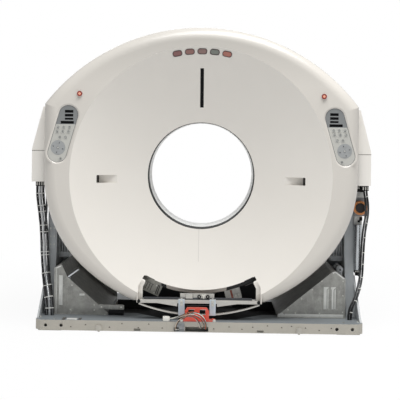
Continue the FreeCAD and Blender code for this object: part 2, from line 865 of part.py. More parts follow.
def make_stop_buttons():
    """A domed button whose stem runs in the cover; it travels inwards and springs back."""
    for name, side in (("left", LEFT), ("right", RIGHT)):
        across, up = f"({side}) * stop_offset", "axis_height + stop_height"
        seat = "-cover_front - stop_collar_proud - stop_travel - fit_gap"
        head = cylinder(f"{name}_stop_head", "stop_radius", "stop_proud - stop_travel", "front", across,
                        seat, up)
        stem = cylinder(f"{name}_stop_stem", "stop_stem_radius", "wall + stop_travel + stop_collar_proud + 4",
                        "front", across, "-cover_front + wall + 4 - fit_gap", up)
        keep(joined(f"{name}_stop", head, stem), f"{name}_stop_button")


# ---------------------------------------------------------------- operator panels

KEY_ROWS = (
    # height above the panel's centre and places along the row, in steps of key_pitch
    ("1.16", ("-0.84", "0.16", "1.16")),
    ("0.40", ("-1", "0", "1")),
    ("-0.60", ("-0.5", "0.5")),
    ("-4.40", ("-0.35",)),
)
PAD_ACROSS, PAD_UP = "(-0.82 * key_pitch)", "(-2.43 * key_pitch)"
DISPLAYS = (
    # left, right, bottom and top edges of the dark read-outs, from the panel's centre
    (12, 67, 138, 156),
    (12, 67, 113, 130),
    (12, 67, 92, 105),
    (-15, 71, 66, 84),
)


def key_places():
    for up, row in KEY_ROWS:
        for across in row:
            yield f"({across}) * key_pitch", f"({up}) * key_pitch"


def upright_rectangle(left, right, low, high):
    """Corners of a rectangle that stands level although the panel leans."""
    corners = []
    for across, up in ((left, low), (right, low), (right, high), (left, high)):
        corners.append((f"({across}) * cos(panel_lean) - ({up}) * sin(panel_lean)",
                        f"({across}) * sin(panel_lean) + ({up}) * cos(panel_lean)"))
    return corners


def key_outline(across, up, gap):
    half_width, half_height = f"(key_width / 2 - ({gap}))", f"(key_height / 2 - ({gap}))"
    return upright_rectangle(f"{across} - {half_width}", f"{across} + {half_width}",
                             f"{up} - {half_height}", f"{up} + {half_height}")


def on_panel(across, up):
    """A level place on the panel, in the panel's own leaning axes."""
    return (f"({across}) * cos(panel_lean) - ({up}) * sin(panel_lean)",
            f"({across}) * sin(panel_lean) + ({up}) * cos(panel_lean)")


PANEL_FACE = "(cover_front - panel_sink)"
WELL_FLOOR = "(key_depth + key_travel + fit_gap)"


def make_panels():
    panel = Piece("left_panel")
    panel.pad("XZ", PANEL_FACE, "panel_plate", panel_capsule("0"), back=True)
    panel.pad("XZ", f"{PANEL_FACE} - panel_plate", "panel_flange", panel_capsule("-6"), back=True)
    for across, up in key_places():
        panel.pocket("XZ", PANEL_FACE, WELL_FLOOR, key_outline(across, up, "0"))
    panel.pocket("XZ", PANEL_FACE, WELL_FLOOR, holes=[(*on_panel(PAD_ACROSS, PAD_UP), "pad_radius")])
    for left, right, low, high in DISPLAYS:
        panel.pocket("XZ", PANEL_FACE, "1.5", upright_rectangle(left, right, low, high))
    placed_on_left_panel(panel.body)
    keep(panel.body)
    keep(mirrored("right_panel_mirror", panel.body), "right_panel")

    for number, (across, up) in enumerate(key_places(), start=1):
        key = Piece(f"left_key_{number}")
        key.pad("XZ", f"{PANEL_FACE} + key_proud", "key_proud + key_depth",
                key_outline(across, up, "fit_gap"), back=True)
        placed_on_left_panel(key.body)
        keep(key.body)
        keep(mirrored(f"right_key_{number}_mirror", key.body), f"right_key_{number}")

    pad = Piece("left_pad")
    centre = on_panel(PAD_ACROSS, PAD_UP)
    pad.pad("XZ", f"{PANEL_FACE} + 1", "key_depth + 1", back=True,
            holes=[(*centre, "pad_radius - fit_gap")])
    dots = [("0", "0"), ("pad_dot_pitch", "0"), ("-pad_dot_pitch", "0"), ("0", "pad_dot_pitch"),
            ("0", "-pad_dot_pitch")]
    spots = [(*on_panel(f"{PAD_ACROSS} + {x}", f"{PAD_UP} + {z}"), "pad_dot_radius") for x, z in dots]
    pad.pad("XZ", f"{PANEL_FACE} + 1", "key_proud - 1", holes=spots)
    placed_on_left_panel(pad.body)
    keep(pad.body, "left_cursor_pad")
    keep(mirrored("right_pad_mirror", pad.body), "right_cursor_pad")


# ---------------------------------------------------------------- tilting frame, bore liner, crossmember

def make_liner():
    liner = Piece("bore_liner", "axis_height")
    half = "(funnel_depth - neck_length)"
    liner.pad("XZ", half, f"2 * {half}", back=True,
              holes=[("0", "0", "bore_radius + liner_wall"), ("0", "0", "bore_radius")])
    keep(liner.body)


def make_tilt_frame():
    frame = Piece("tilt_frame", "axis_height")
    plate = "-frame_plate_front"
    frame.pad("XZ", plate, "frame_plate", back=True,
              holes=[("0", "0", "frame_ring_outer"), ("0", "0", "frame_ring_inner")])
    arm = "(frame_ring_outer - frame_arm_half / 2)"
    for side in ("-", ""):
        ends = [f"{side}{arm}", f"{side}frame_arm_outer"]
        left, right = ends if side == "" else reversed(ends)
        frame.pad("XZ", plate, "frame_plate", rectangle(left, right, "-frame_arm_half", "frame_arm_half"),
                  back=True)
        cheeks = [f"{side}frame_arm_inner", f"{side}frame_arm_outer"]
        left, right = cheeks if side == "" else reversed(cheeks)
        frame.pad("XZ", plate, "frame_plate_front + frame_arm_half / 1.5",
                  rectangle(left, right, "-frame_arm_half", "frame_arm_half"))
    top = "(sqrt((dome_radius - wall)^2 - crown_half_width^2) - dome_drop)"
    frame.pad("XZ", plate, "frame_plate", [
        ("-crown_half_width", "frame_ring_outer - 60"),
        ("crown_half_width", "frame_ring_outer - 60"),
        ("crown_half_width", top, "dome_radius - wall", 1),
        ("-crown_half_width", top),
    ], back=True)
    for side in ("-", ""):
        rail = [f"{side}(rail_offset - rail_width / 2)", f"{side}(rail_offset + rail_width / 2)"]
        left, right = rail if side == "" else reversed(rail)
        front = "(cross_front - strip_depth)"
        frame.pad("XZ", front, f"{front} + frame_plate_front + frame_plate",
                  rectangle(left, right, "-rail_bottom", "-rail_bottom + rail_height"), back=True)
        frame.pad("XZ", plate, "frame_plate",
                  rectangle(left, right, "-rail_bottom", "-frame_ring_outer + rail_height"), back=True)
    frame.pad("XZ", plate, "frame_plate", rectangle("-apron_half_width", "apron_half_width",
              "-oval_height + apron_gap", "-frame_ring_outer / 1.25"), back=True)
    for side in ("-", ""):
        start = f"{side}frame_arm_outer"
        sketch = frame.sketch("YZ", start)
        draw_circle(sketch, "0", "0", "shaft_radius")
        shaft = frame.feature("Pad", sketch, Length="stand_outer - frame_arm_outer")
        shaft.Reversed = side == "-"
        doc.recompute()
    keep(frame.body)

    bearing = Piece("main_bearing", "axis_height")
    bearing.pad("XZ", "-frame_plate_front", "bearing_width",
                holes=[("0", "0", "bearing_outer"), ("0", "0", "bearing_inner")])
    keep(bearing.body)


def make_crossmember():
    """Bar, curved strip, straps and plates that close the tilting unit below the opening."""
    front, back = "-cross_front", "-cross_front + cross_depth"
    level = "axis_height - cross_top"
    bar = box("cross_bar", "-opening_half_width + buffer_length", "opening_half_width - buffer_length",
              front, back, f"{level} - cross_height", level)
    buffers = [
        box("left_buffer", "-opening_half_width", "-opening_half_width + buffer_length", f"{front} + 2",
            f"{back} - 2", f"{level} - cross_height + 2", f"{level} - 2"),
        box("right_buffer", "opening_half_width - buffer_length", "opening_half_width", f"{front} + 2",
            f"{back} - 2", f"{level} - cross_height + 2", f"{level} - 2"),
    ]
    shelf = box("cross_shelf", "-opening_half_width + 3 * buffer_length", "opening_half_width - 3 * buffer_length",
                back, f"{back} + 2 * cross_depth", f"{level} - strap_thickness", level)

    strip = Piece("curved_strip", "axis_height")
    outer = f"({OVAL_BIG} - strip_drop)"
    inner = f"({OVAL_BIG} - strip_drop - strip_thickness)"
    half = "(opening_half_width - buffer_length / 2)"
    strip.pad("XZ", "cross_front", "strip_depth", [
        (f"-{half}", f"{OVAL_RISE} - sqrt({outer}^2 - {half}^2)", outer, 1),
        (half, f"{OVAL_RISE} - sqrt({outer}^2 - {half}^2)"),
        (half, f"{OVAL_RISE} - sqrt({inner}^2 - {half}^2)", inner, -1),
        (f"-{half}", f"{OVAL_RISE} - sqrt({inner}^2 - {half}^2)"),
    ], back=True)

    straps = []
    wedges = []
    for name, side in (("left", "-"), ("right", "+")):
        middle = f"(middle_shift {side} strap_spacing / 2)"
        edges = f"{middle} - strap_width / 2", f"{middle} + strap_width / 2"
        low = "axis_height - oval_height + strip_drop + strip_thickness / 2"
        straps.append(box(f"{name}_strap", *edges, f"{front} - strap_thickness", front, low, level))
        straps.append(box(f"{name}_strap_top", *edges, f"{front} - strap_thickness", f"{back} + cross_depth",
                          level, f"{level} + strap_thickness"))
        straps.append(box(f"{name}_strap_bolt", f"{middle} - strap_thickness", f"{middle} + strap_thickness",
                          f"{front} + 4", f"{front} + 4 + 2 * strap_thickness", level,
                          f"{level} + 2 * strap_thickness"))
        plate_back = "-cross_front + strip_depth"
        straps.append(box(f"{name}_hanger", f"{middle} - strap_width / 2", f"{middle} + strap_width / 2",
                          f"{plate_back} - strap_thickness", plate_back, low, level))
        wedge = Piece(f"{name}_wedge", "axis_height")
        near = f"(middle_shift {side} (strap_spacing / 2 + strap_width / 2 + wall))"
        far = f"(middle_shift {side} (strap_spacing / 2 + 4 * strap_width))"
        corners = [(near, "-cross_top - cross_height"), (far, "-cross_top - cross_height"),
                   (near, "-cross_top - 2 * cross_height")]
        wedge.pad("XZ", "cross_front", "strap_thickness", corners, back=True)
        wedges.append(wedge.body)

    socket_front = f"{back} + cross_depth / 2"
    sockets = box("socket_plate", "middle_shift - strap_spacing / 2 - 10", "middle_shift + strap_spacing / 2 + 10",
                  socket_front, f"{socket_front} + strap_thickness", f"{level} - 2",
                  f"{level} + 2 * cross_height")
    relay = box("relay", "middle_shift - strap_spacing / 2 + 26", "middle_shift - strap_spacing / 2 + 72",
                f"{socket_front} - 12", socket_front, f"{level} + 9", f"{level} + 2 * cross_height - 4")
    plugs = box("socket_row", "middle_shift + 10", "middle_shift + strap_spacing / 2 - 20",
                f"{socket_front} - 9", socket_front, f"{level} + 8", f"{level} + 2 * cross_height - 8")
    keep(joined("crossmember", bar, *buffers, shelf, strip.body, *straps, *wedges, sockets, relay, plugs),
         "lower_crossmember")


# ---------------------------------------------------------------- rotor

def make_rotor():
    drum = Piece("rotor_drum", "axis_height")
    spigot = "(bearing_inner - fit_gap)"
    web_back = "web_front + web_thickness"
    drum.turned([
        ("-spigot_front", "spigot_inner"),
        ("frame_plate_front - fit_gap", "spigot_inner"),
        ("frame_plate_front - fit_gap", spigot),
        (f"{web_back}", spigot),
        (f"{web_back}", "drum_outer"),
        ("-drum_front", "drum_outer"),
        ("-drum_front", "drum_lip"),
        ("-drum_front + drum_lip_thickness", "drum_lip"),
        ("-drum_front + drum_lip_thickness", "drum_inner"),
        ("web_front", "drum_inner"),
        ("web_front", spigot),
        ("-spigot_front", spigot),
    ])
    keep(drum.body)

    tube = cylinder("tube_shell", "tube_radius", "tube_length", "front", "0", "web_front",
                    "axis_height + tube_circle")
    snout = box("tube_port", "-tube_radius / 2", "tube_radius / 2", "web_front - tube_length / 2 - 60",
                "web_front - tube_length / 2 + 60", "axis_height + tube_circle - tube_radius - 40",
                "axis_height + tube_circle")
    saddle = box("tube_saddle", "-tube_radius", "tube_radius", "web_front - 40", "web_front",
                 "axis_height + tube_circle - tube_radius", "axis_height + tube_circle + tube_radius")
    keep(joined("tube", tube, snout, saddle), "xray_tube")

    detector = Piece("detector_module", "axis_height")
    across_outer = "detector_outer * sin(detector_half_angle)"
    across_inner = "detector_inner * sin(detector_half_angle)"
    down_outer = "-detector_outer * cos(detector_half_angle)"
    down_inner = "-detector_inner * cos(detector_half_angle)"
    detector.pad("XZ", "-web_front + detector_depth", "detector_depth", [
        (f"-{across_outer}", down_outer, "detector_outer", 1),
        (across_outer, down_outer),
        (across_inner, down_inner, "detector_inner", -1),
        (f"-{across_inner}", down_inner),
    ], back=True)
    keep(detector.body)

    keep(rotor_block("cooler", "cooler_angle", "cooler_width", "90"), "tube_cooler")
    keep(rotor_block("power", "power_angle", "power_width", "60"), "power_unit")
    weights = doc.addObject("Part::Compound", "balance_weights")
    weights.Links = [rotor_block("left_weight", "-weight_angle", "left_weight_width", "90"),
                     rotor_block("right_weight", "weight_angle", "right_weight_width", "90")]
    keep(weights)


def rotor_block(label, angle, width, inset):
    """A block on the outside of the drum at an angle from straight down, its seat hollowed to the drum."""
    block = doc.addObject("Part::Box", f"{label}_block")
    bind(block, Length=width, Width="drum_front", Height="rotor_reach - drum_outer")
    length = f"(drum_front - ({inset}))"
    bind(block, Width=length)
    height = f"sqrt(rotor_reach^2 - (({width}) / 2)^2)"
    seat = "(drum_outer - 20)"
    bind(block, Height=f"{height} - {seat}")
    block.Placement = FreeCAD.Placement(Vector(0, 0, 0), FreeCAD.Rotation(Vector(0, 1, 0), 180 - value(angle)))
    start_x, start_z = f"(-({width}) / 2)", seat
    turn = f"(180 - ({angle}))"
    bind(block, Placement__Base__x=f"{start_x} * cos({turn}) + {start_z} * sin({turn})",
         Placement__Base__y="-drum_front",
         Placement__Base__z=f"axis_height - {start_x} * sin({turn}) + {start_z} * cos({turn})")
    core = cylinder(f"{label}_core", "drum_outer + fit_gap", "3 * drum_front", "front", "0", "1.5 * drum_front",
                    "axis_height")
    return cut(label, block, core)


# ---------------------------------------------------------------- base and stands

def both_sides(pairs):
    """Rectangles for both ends of the machine from (near, far) distances off its middle."""
    for near, far, low, high in pairs:
        yield rectangle(f"-({far})", f"-({near})", low, high)
        yield rectangle(near, far, low, high)


def make_base():
    base = Piece("base_frame")
    deep, length = "base_half_depth", "base_half_length"
    corner = "base_corner"
    beam = "(base_half_depth - front_beam_depth)"
    neck_back = "(base_half_depth - middle_beam_depth)"
    outside = [
        (f"-{length}", f"-{deep} + {corner}"), (f"-{length} + {corner}", f"-{deep}"),
        (f"{length} - {corner}", f"-{deep}"), (length, f"-{deep} + {corner}"),
        (length, f"{deep} - {corner}"), (f"{length} - {corner}", deep),
        (f"-{length} + {corner}", deep), (f"-{length}", f"{deep} - {corner}"),
    ]
    inside = [
        ("-side_beam_inner", f"-{beam}"), ("-neck_outer", f"-{beam}"), ("-neck_inner", f"-{neck_back}"),
        ("neck_inner", f"-{neck_back}"), ("neck_outer", f"-{beam}"), ("side_beam_inner", f"-{beam}"),
        ("side_beam_inner", beam), ("neck_outer", beam), ("neck_inner", neck_back),
        ("-neck_inner", neck_back), ("-neck_outer", beam), ("-side_beam_inner", beam),
    ]
    base.pad("XY", "foot_thickness", "base_top - foot_thickness", outside, inside)
    base.pad("XY", "0", "foot_thickness", *both_sides([("foot_inner", "foot_outer", f"-{deep} + 10",
                                                       f"{deep} - 10")]))
    holes = []
    for side in ("-", ""):
        for step in ("0", "dolly_hole_pitch"):
            holes.append((f"{side}(dolly_hole_outer - {step})", "dolly_hole_height", "dolly_hole_radius"))
    base.pocket("XZ", deep, "dolly_hole_depth", holes=holes)
    half_slot = "lift_slot_length / 2"
    low = "foot_thickness + 4"
    base.pocket("XZ", deep, "lift_slot_height", *both_sides(
        [(f"lift_slot_offset - {half_slot}", f"lift_slot_offset + {half_slot}", low, f"{low} + lift_slot_height")]))
    base.pocket("XZ", deep, "pocket_depth", rectangle("middle_shift - pocket_width / 2",
                                                      "middle_shift + pocket_width / 2", low,
                                                      f"{low} + pocket_height"))
    anchors = [(f"{x}anchor_offset", f"{y}({deep} - anchor_inset)", "anchor_radius") for x in ("-", "") for y in ("-", "")]
    base.pocket("XY", "base_top", "base_top", holes=anchors)
    keep(base.body)

    blocks = []
    for name, x, y in (("fl", "-", "-"), ("fr", "", "-"), ("bl", "-", ""), ("br", "", "")):
        centre = f"({x}jack_offset)"
        inner, outer = f"{y}base_half_depth", f"{y}(base_half_depth + jack_proud)"
        front, back = (outer, inner) if y == "-" else (inner, outer)
        block = box(f"jack_block_{name}", f"{centre} - jack_block / 2", f"{centre} + jack_block / 2", front, back,
                    "foot_thickness + 5", "foot_thickness + 5 + jack_block")
        screw = cylinder(f"jack_screw_{name}", "jack_screw_radius", "jack_block + 3 * foot_thickness", "up", centre,
                         f"{y}(base_half_depth + jack_proud / 2)", "0")
        blocks.append(joined(f"jack_{name}", block, screw))
    jacks = doc.addObject("Part::Compound", "levelling_jacks")
    jacks.Links = blocks
    keep(jacks)


def make_stands():
    """An upright casting with a round bearing head, a shelf with fins and an arm for the side covers."""
    stand = Piece("left_stand")
    outer = "-stand_outer"
    head, half = "stand_head_radius", "stand_half_depth"
    neck_z = f"axis_height - sqrt({head}^2 - {half}^2)"
    stand.pad("YZ", outer, "stand_width", [
        ("-stand_foot_half", "base_top"), ("stand_foot_half", "base_top"), (half, "stand_shoulder"),
        (half, neck_z, head, 1), ("0", f"axis_height + {head}", head, 1), (f"-{half}", neck_z),
        (f"-{half}", "stand_shoulder"),
    ])
    stand.pocket("YZ", outer, "stand_width", ahead=True, holes=[("0", "axis_height", "bush_outer")])
    stand.pad("YZ", outer, "gusset_plate", [
        ("-gusset_reach", "base_top"), ("stand_foot_half", "base_top"), (half, "base_top + gusset_height"),
        (f"-{half}", "base_top + gusset_height"),
    ], back=True)
    shelf_top = "axis_height - shelf_drop"
    stand.pad("YZ", "-stand_inner", "shelf_reach",
              rectangle("-shelf_half_depth", "shelf_half_depth", f"{shelf_top} - shelf_thickness", shelf_top))
    for number in range(int(value("fin_count"))):
        stand.pad("YZ", f"-stand_inner + {number} * fin_pitch", "fin_thickness",
                  rectangle("-shelf_half_depth", "shelf_half_depth", f"{shelf_top} - 1",
                            f"{shelf_top} + fin_height"))
    stand.pad("YZ", outer, "carrier_thickness", rectangle("-carrier_half_depth", "carrier_half_depth",
              f"axis_height + {head} / 2", "axis_height + carrier_reach"))
    arm_low = "axis_height + side_seam / 2"
    arm = "side_cover_reach - side_wall - stand_outer"
    stand.pad("YZ", outer, arm, rectangle("-carrier_half_depth", "carrier_half_depth", arm_low,
              f"{arm_low} + side_wall"), back=True)
    keep(stand.body)
    keep(mirrored("right_stand_mirror", stand.body), "right_stand")

    bushes = []
    for name, start in (("left", outer), ("right", "stand_inner")):
        ring = cylinder(f"{name}_bush", "bush_outer - 0.05", "stand_width", "right", start, "0", "axis_height")
        hole = cylinder(f"{name}_bush_hole", "shaft_radius + shaft_running_gap", "stand_width", "right", start,
                        "0", "axis_height")
        bushes.append(cut(f"{name}_bushing", ring, hole))
    bearings = doc.addObject("Part::Compound", "pivot_bearings")
    bearings.Links = bushes
    keep(bearings)


def stand_box(side):
    """A sheet-metal box drawn on the left; behind it a guard sheet reaches up towards the covers."""
    piece = Piece(f"{side}_box")
    floor = "base_top"
    toe, toe_z = f"(-box_outer + {side}_toe_width)", f"({floor} + box_toe_height)"
    slope, slope_z = f"(-box_outer + {side}_slope_width)", f"({floor} + {side}_slope_height)"
    top, top_z = f"(-box_outer + {side}_top_width)", f"({floor} + {side}_top_height)"
    shoulder_z = f"({floor} + {side}_shoulder_height)"
    piece.pad("XZ", "box_front", "box_depth", [
        ("-box_outer", floor), (toe, floor), (toe, toe_z), (slope, slope_z), (top, top_z), ("-box_outer", shoulder_z),
    ], back=True)
    rise = f"{side}_guard_rise"
    piece.pad("XZ", "box_front - box_depth", "guard_plate", [
        ("-box_outer", floor), (toe, floor), (toe, f"{toe_z} + {rise}"), (slope, f"{slope_z} + {rise}"),
        (top, f"{top_z} + {rise}"), ("-box_outer", f"{shoulder_z} + {rise}"),
    ], back=True)
    piece.pocket("XZ", "box_front - box_wall", "box_depth", [
        ("-box_outer + box_wall", f"{floor} + box_wall"),
        (f"{toe} - 4 * box_wall", f"{floor} + box_wall"),
        (f"{slope} - 1.5 * box_wall", f"{slope_z} - box_wall"),
        (f"{top} - 1.3 * box_wall", f"{top_z} - 1.8 * box_wall"),
        ("-box_outer + box_wall", f"{shoulder_z} - 1.8 * box_wall"),
    ])
    run, fall = f"({slope} - {toe})", f"({slope_z} - {toe_z})"
    length = f"sqrt({run}^2 + {fall}^2)"
    in_x, in_z = f"box_flange * {fall} / {length}", f"box_flange * {run} / {length}"
    low_x, low_z = f"{toe} + {run} / 12", f"{toe_z} + {fall} / 12"
    piece.pad("XZ", "box_front", "box_flange_proud", [
        (low_x, low_z), (slope, slope_z), (f"{slope} - {in_x}", f"{slope_z} + {in_z}"),
        (f"{low_x} - {in_x}", f"{low_z} + {in_z}"),
    ])
    piece.pad("XZ", "box_front", "2 * box_flange_proud", rectangle("-box_outer", toe, floor,
              f"{floor} + box_flange_proud"))
    piece.pad("XZ", "box_front", "box_flange_proud", rectangle("-box_outer", "-box_outer + box_flange / 2",
              floor, shoulder_z))
    for number in (0, 1):
        left = f"(-box_outer + box_flange + 20 + {number} * box_rib_pitch)"
        low = f"({floor} + 50)"
        middle = f"({low} + box_rib_height / 2)"
        half = "(box_rib_height - box_rib_width) / 2"
        piece.pad("XZ", "box_front", "box_rib_proud", capsule(f"{left} + box_rib_width / 2", middle,
                  "box_rib_width / 2", half))
        piece.pocket("XZ", "box_front + box_rib_proud", "box_rib_proud", capsule(
            f"{left} + box_rib_width / 2", middle, "box_rib_width / 2 - 6", half))
    return piece.body


def make_stand_boxes():
    keep(stand_box("left"), "left_stand_box")
    keep(mirrored("right_stand_box_mirror", stand_box("right")), "right_stand_box")


def make_side_covers():
    """Fixed covers outside the stands: a chamfered upper one over a square lower one, open inwards."""
    inner = "-(cover_half_width + side_gap)"
    reach = "-side_cover_reach"
    seam = "axis_height + side_seam"
    depth, wall = "side_cover_half_depth", "side_wall"
    lower = Piece("left_lower_side_cover")
    bottom = "axis_height + side_bottom"
    lower.pad("XZ", depth, f"2 * {depth}", rectangle(reach, inner, bottom, seam), back=True)
    lower.pocket("XZ", f"{depth} - {wall}", f"2 * ({depth} - {wall})",
                 rectangle(f"{reach} + {wall}", inner, bottom, f"{seam} - {wall}"))
    keep(lower.body)
    keep(mirrored("right_lower_side_mirror", lower.body), "right_lower_side_cover")

    upper = Piece("left_upper_side_cover")
    foot = f"{seam} + fit_gap"
    knee, top = "axis_height + side_knee", "axis_height + side_top"
    upper.pad("XZ", depth, f"2 * {depth}", [(reach, foot), (inner, foot), (inner, top), (f"{inner} - 12", top),
              (reach, knee)], back=True)
    upper.pocket("XZ", f"{depth} - {wall}", f"2 * ({depth} - {wall})", [
        (f"{reach} + {wall}", foot), (inner, foot), (inner, f"{top} - {wall}"),
        (f"{inner} - 12 + {wall} / 2", f"{top} - {wall}"), (f"{reach} + {wall}", knee)])
    keep(upper.body)
    keep(mirrored("right_upper_side_mirror", upper.body), "right_upper_side_cover")


def make_transport_lock():
    """The red bracket that locks the tilting unit for transport, bolted to the front beam."""
    lock = Piece("transport_lock")
    floor = "base_top"
    left, right = "(middle_shift - lock_half_width)", "(middle_shift + lock_half_width)"
    top = f"{floor} + lock_height"
    lock.pad("XZ", "lock_front", "lock_plate", [
        (left, floor), (right, floor), (right, f"{top} - 24"), (f"{right} - 14", top), (f"{left} + 14", top),
        (left, f"{top} - 24"),
    ], back=True)
    lock.pad("XY", floor, "lock_plate", rectangle("middle_shift - lock_foot_left", "middle_shift + lock_foot_right",
             "-lock_front", "-lock_front + lock_foot_depth"))
    for side in ("-", "+"):
        near = f"(middle_shift {side} lock_window_gap / 2)"
        far = f"(middle_shift {side} (lock_window_gap / 2 + lock_window_width))"
        edges = (far, near) if side == "-" else (near, far)
        lock.pocket("XZ", "lock_front", "lock_plate", rectangle(*edges, f"{floor} + lock_window_low",
                    f"{floor} + lock_window_top"))
        web = f"middle_shift {side} (lock_half_width - lock_plate / 2)"
        lock.pad("YZ", f"{web} - lock_plate / 2", "lock_plate", [
            ("-lock_front + 1", floor), ("-lock_front + lock_foot_depth", floor), ("-lock_front + 1", f"{top} - 24")])
    lock.pad("XY", f"{floor} + lock_plate", "lock_bolt_radius", holes=[
        ("middle_shift + lock_foot_right - 16", "-lock_front + 18", "lock_bolt_radius")])
    keep(lock.body)


# ---------------------------------------------------------------- duct, looms, coil and front harness

def make_duct():
    duct = Piece("service_duct")
    left = "(stand_outer + fit_gap)"
    right = f"({left} + duct_width)"
    radius = "duct_width / 2"
    nose = "(-stand_half_depth - 30)"
    duct.pad("XY", "axis_height - duct_bottom", "duct_bottom - duct_top", [
        (left, f"{nose} + duct_straight"), (left, nose, radius, 1),
        (f"{left} + {radius}", f"{nose} - {radius}", radius, 1), (right, nose),
        (right, f"{nose} + duct_straight"),
    ])
    keep(duct.body)


def tube_along(points, diameter, label):
    """A round cable along a route of straight runs and arcs as large as the runs allow."""
    route = [Vector(*point) for point in points]
    edges = []
    radii = []
    here = route[0]
    for before, corner, after in zip(route, route[1:], route[2:]):
        into, out = corner - before, after - corner
        half_turn = into.getAngle(out) / 2
        reach = 0.45 * min(into.Length, out.Length)
        radii.append(reach / math.tan(half_turn))
        start = corner - into.normalize() * reach
        end = corner + out.normalize() * reach
        inward = ((start + end) / 2 - corner).normalize()
        middle = corner + inward * (radii[-1] / math.cos(half_turn) - radii[-1])
        edges.append(Part.LineSegment(here, start).toShape())
        edges.append(Part.Arc(start, middle, end).toShape())
        here = end
    edges.append(Part.LineSegment(here, route[-1]).toShape())
    path = Part.Wire(edges)
    circle = Part.Circle(route[0], route[1] - route[0], diameter / 2)
    tube = path.makePipeShell([Part.Wire(circle.toShape())], True, False)
    section = math.pi * diameter**2 / 4
    share = tube.Volume / (section * path.Length)
    print(f"{label}: length {path.Length:.0f}, radii {min(radii):.0f} to {max(radii):.0f}, volume share {share:.3f}")
    return tube


LEFT_LOOM_ROUTE = [
    (-1094, -172, 952), (-1098, -173, 895), (-1094, -172, 825), (-1083, -172, 750), (-1071, -172, 660),
    (-1065, -172, 560), (-1060, -175, 460), (-1050, -192, 370), (-1034, -240, 290), (-1008, -300, 205),
    (-992, -338, 134), (-992, -338, 70.3),
]
RIGHT_LOOM_ROUTE = [
    (1103, -235, 952), (1105, -236, 900), (1108, -238, 830), (1110, -236, 750), (1110, -228, 660),
    (1109, -218, 560), (1107, -212, 470), (1100, -212, 400), (1090, -224, 335), (1070, -262, 275),
    (1036, -318, 205), (992, -348, 138), (992, -348, 70.3),
]
HARNESS_ROUTE = [
    (30, -440, 24), (38, -474, 24), (56, -500, 40), (63, -508, 76), (48, -509, 116), (14, -508, 144),
    (-30, -506, 154), (-72, -503, 145), (-112, -498, 124), (-146, -490, 103), (-176, -478, 92),
    (-196, -464, 88),
]


def make_looms():
    diameter = value("loom_diameter")
    for label, route, count in (("left_cable_loom", LEFT_LOOM_ROUTE, 3), ("right_cable_loom", RIGHT_LOOM_ROUTE, 2)):
        tubes = []
        for number in range(count):
            shift = (number - (count - 1) / 2) * value("loom_spacing")
            points = [(x + shift, y, z) for x, y, z in route]
            tubes.append(tube_along(points, diameter, f"{label} cable {number + 1}"))
        keep(shaped(label, Part.makeCompound(tubes)))

    harness = tube_along(HARNESS_ROUTE, value("harness_diameter"), "front_harness")
    keep(shaped("front_harness", harness))
    end = Vector(*HARNESS_ROUTE[-1])
    way = (end - Vector(*HARNESS_ROUTE[-2])).normalize()
    length, width, height = value("plug_length"), value("plug_width"), value("plug_height")
    plug = Part.makeBox(length, width, height, Vector(0, -width / 2, -height / 2))
    plug = plug.makeFillet(3, [edge for edge in plug.Edges if edge.Length > length - 1])
    level = Vector(way.x, way.y, 0).normalize()
    plug.rotate(Vector(0, 0, 0), Vector(0, 0, 1), math.degrees(math.atan2(level.y, level.x)))
    tilt_axis = level.cross(Vector(0, 0, 1))
    plug.rotate(Vector(0, 0, 0), tilt_axis, math.degrees(math.asin(way.z)))
    plug.translate(end)
    keep(shaped("harness_plug", plug))


def biarc(start, start_way, end, end_way):
    """Two arcs that leave and arrive along the given unit directions, as edges."""
    span = end - start
    blend = 2 * (start_way.dot(end_way) - 1)
    slope = span.dot(start_way + end_way)
    reach = (slope - math.sqrt(slope**2 - blend * span.dot(span))) / blend
    first_corner = start + start_way * reach
    last_corner = end - end_way * reach
    joint = (first_corner + last_corner) / 2
    edges = []
    for near, corner, far in ((start, first_corner, joint), (joint, last_corner, end)):
        half_turn = (corner - near).getAngle(far - corner) / 2
        inward = ((near + far) / 2 - corner).normalize()
        radius = reach / math.tan(half_turn)
        middle = corner + inward * (radius / math.cos(half_turn) - radius)
        edges.append(Part.Arc(near, middle, far).toShape())
    return edges


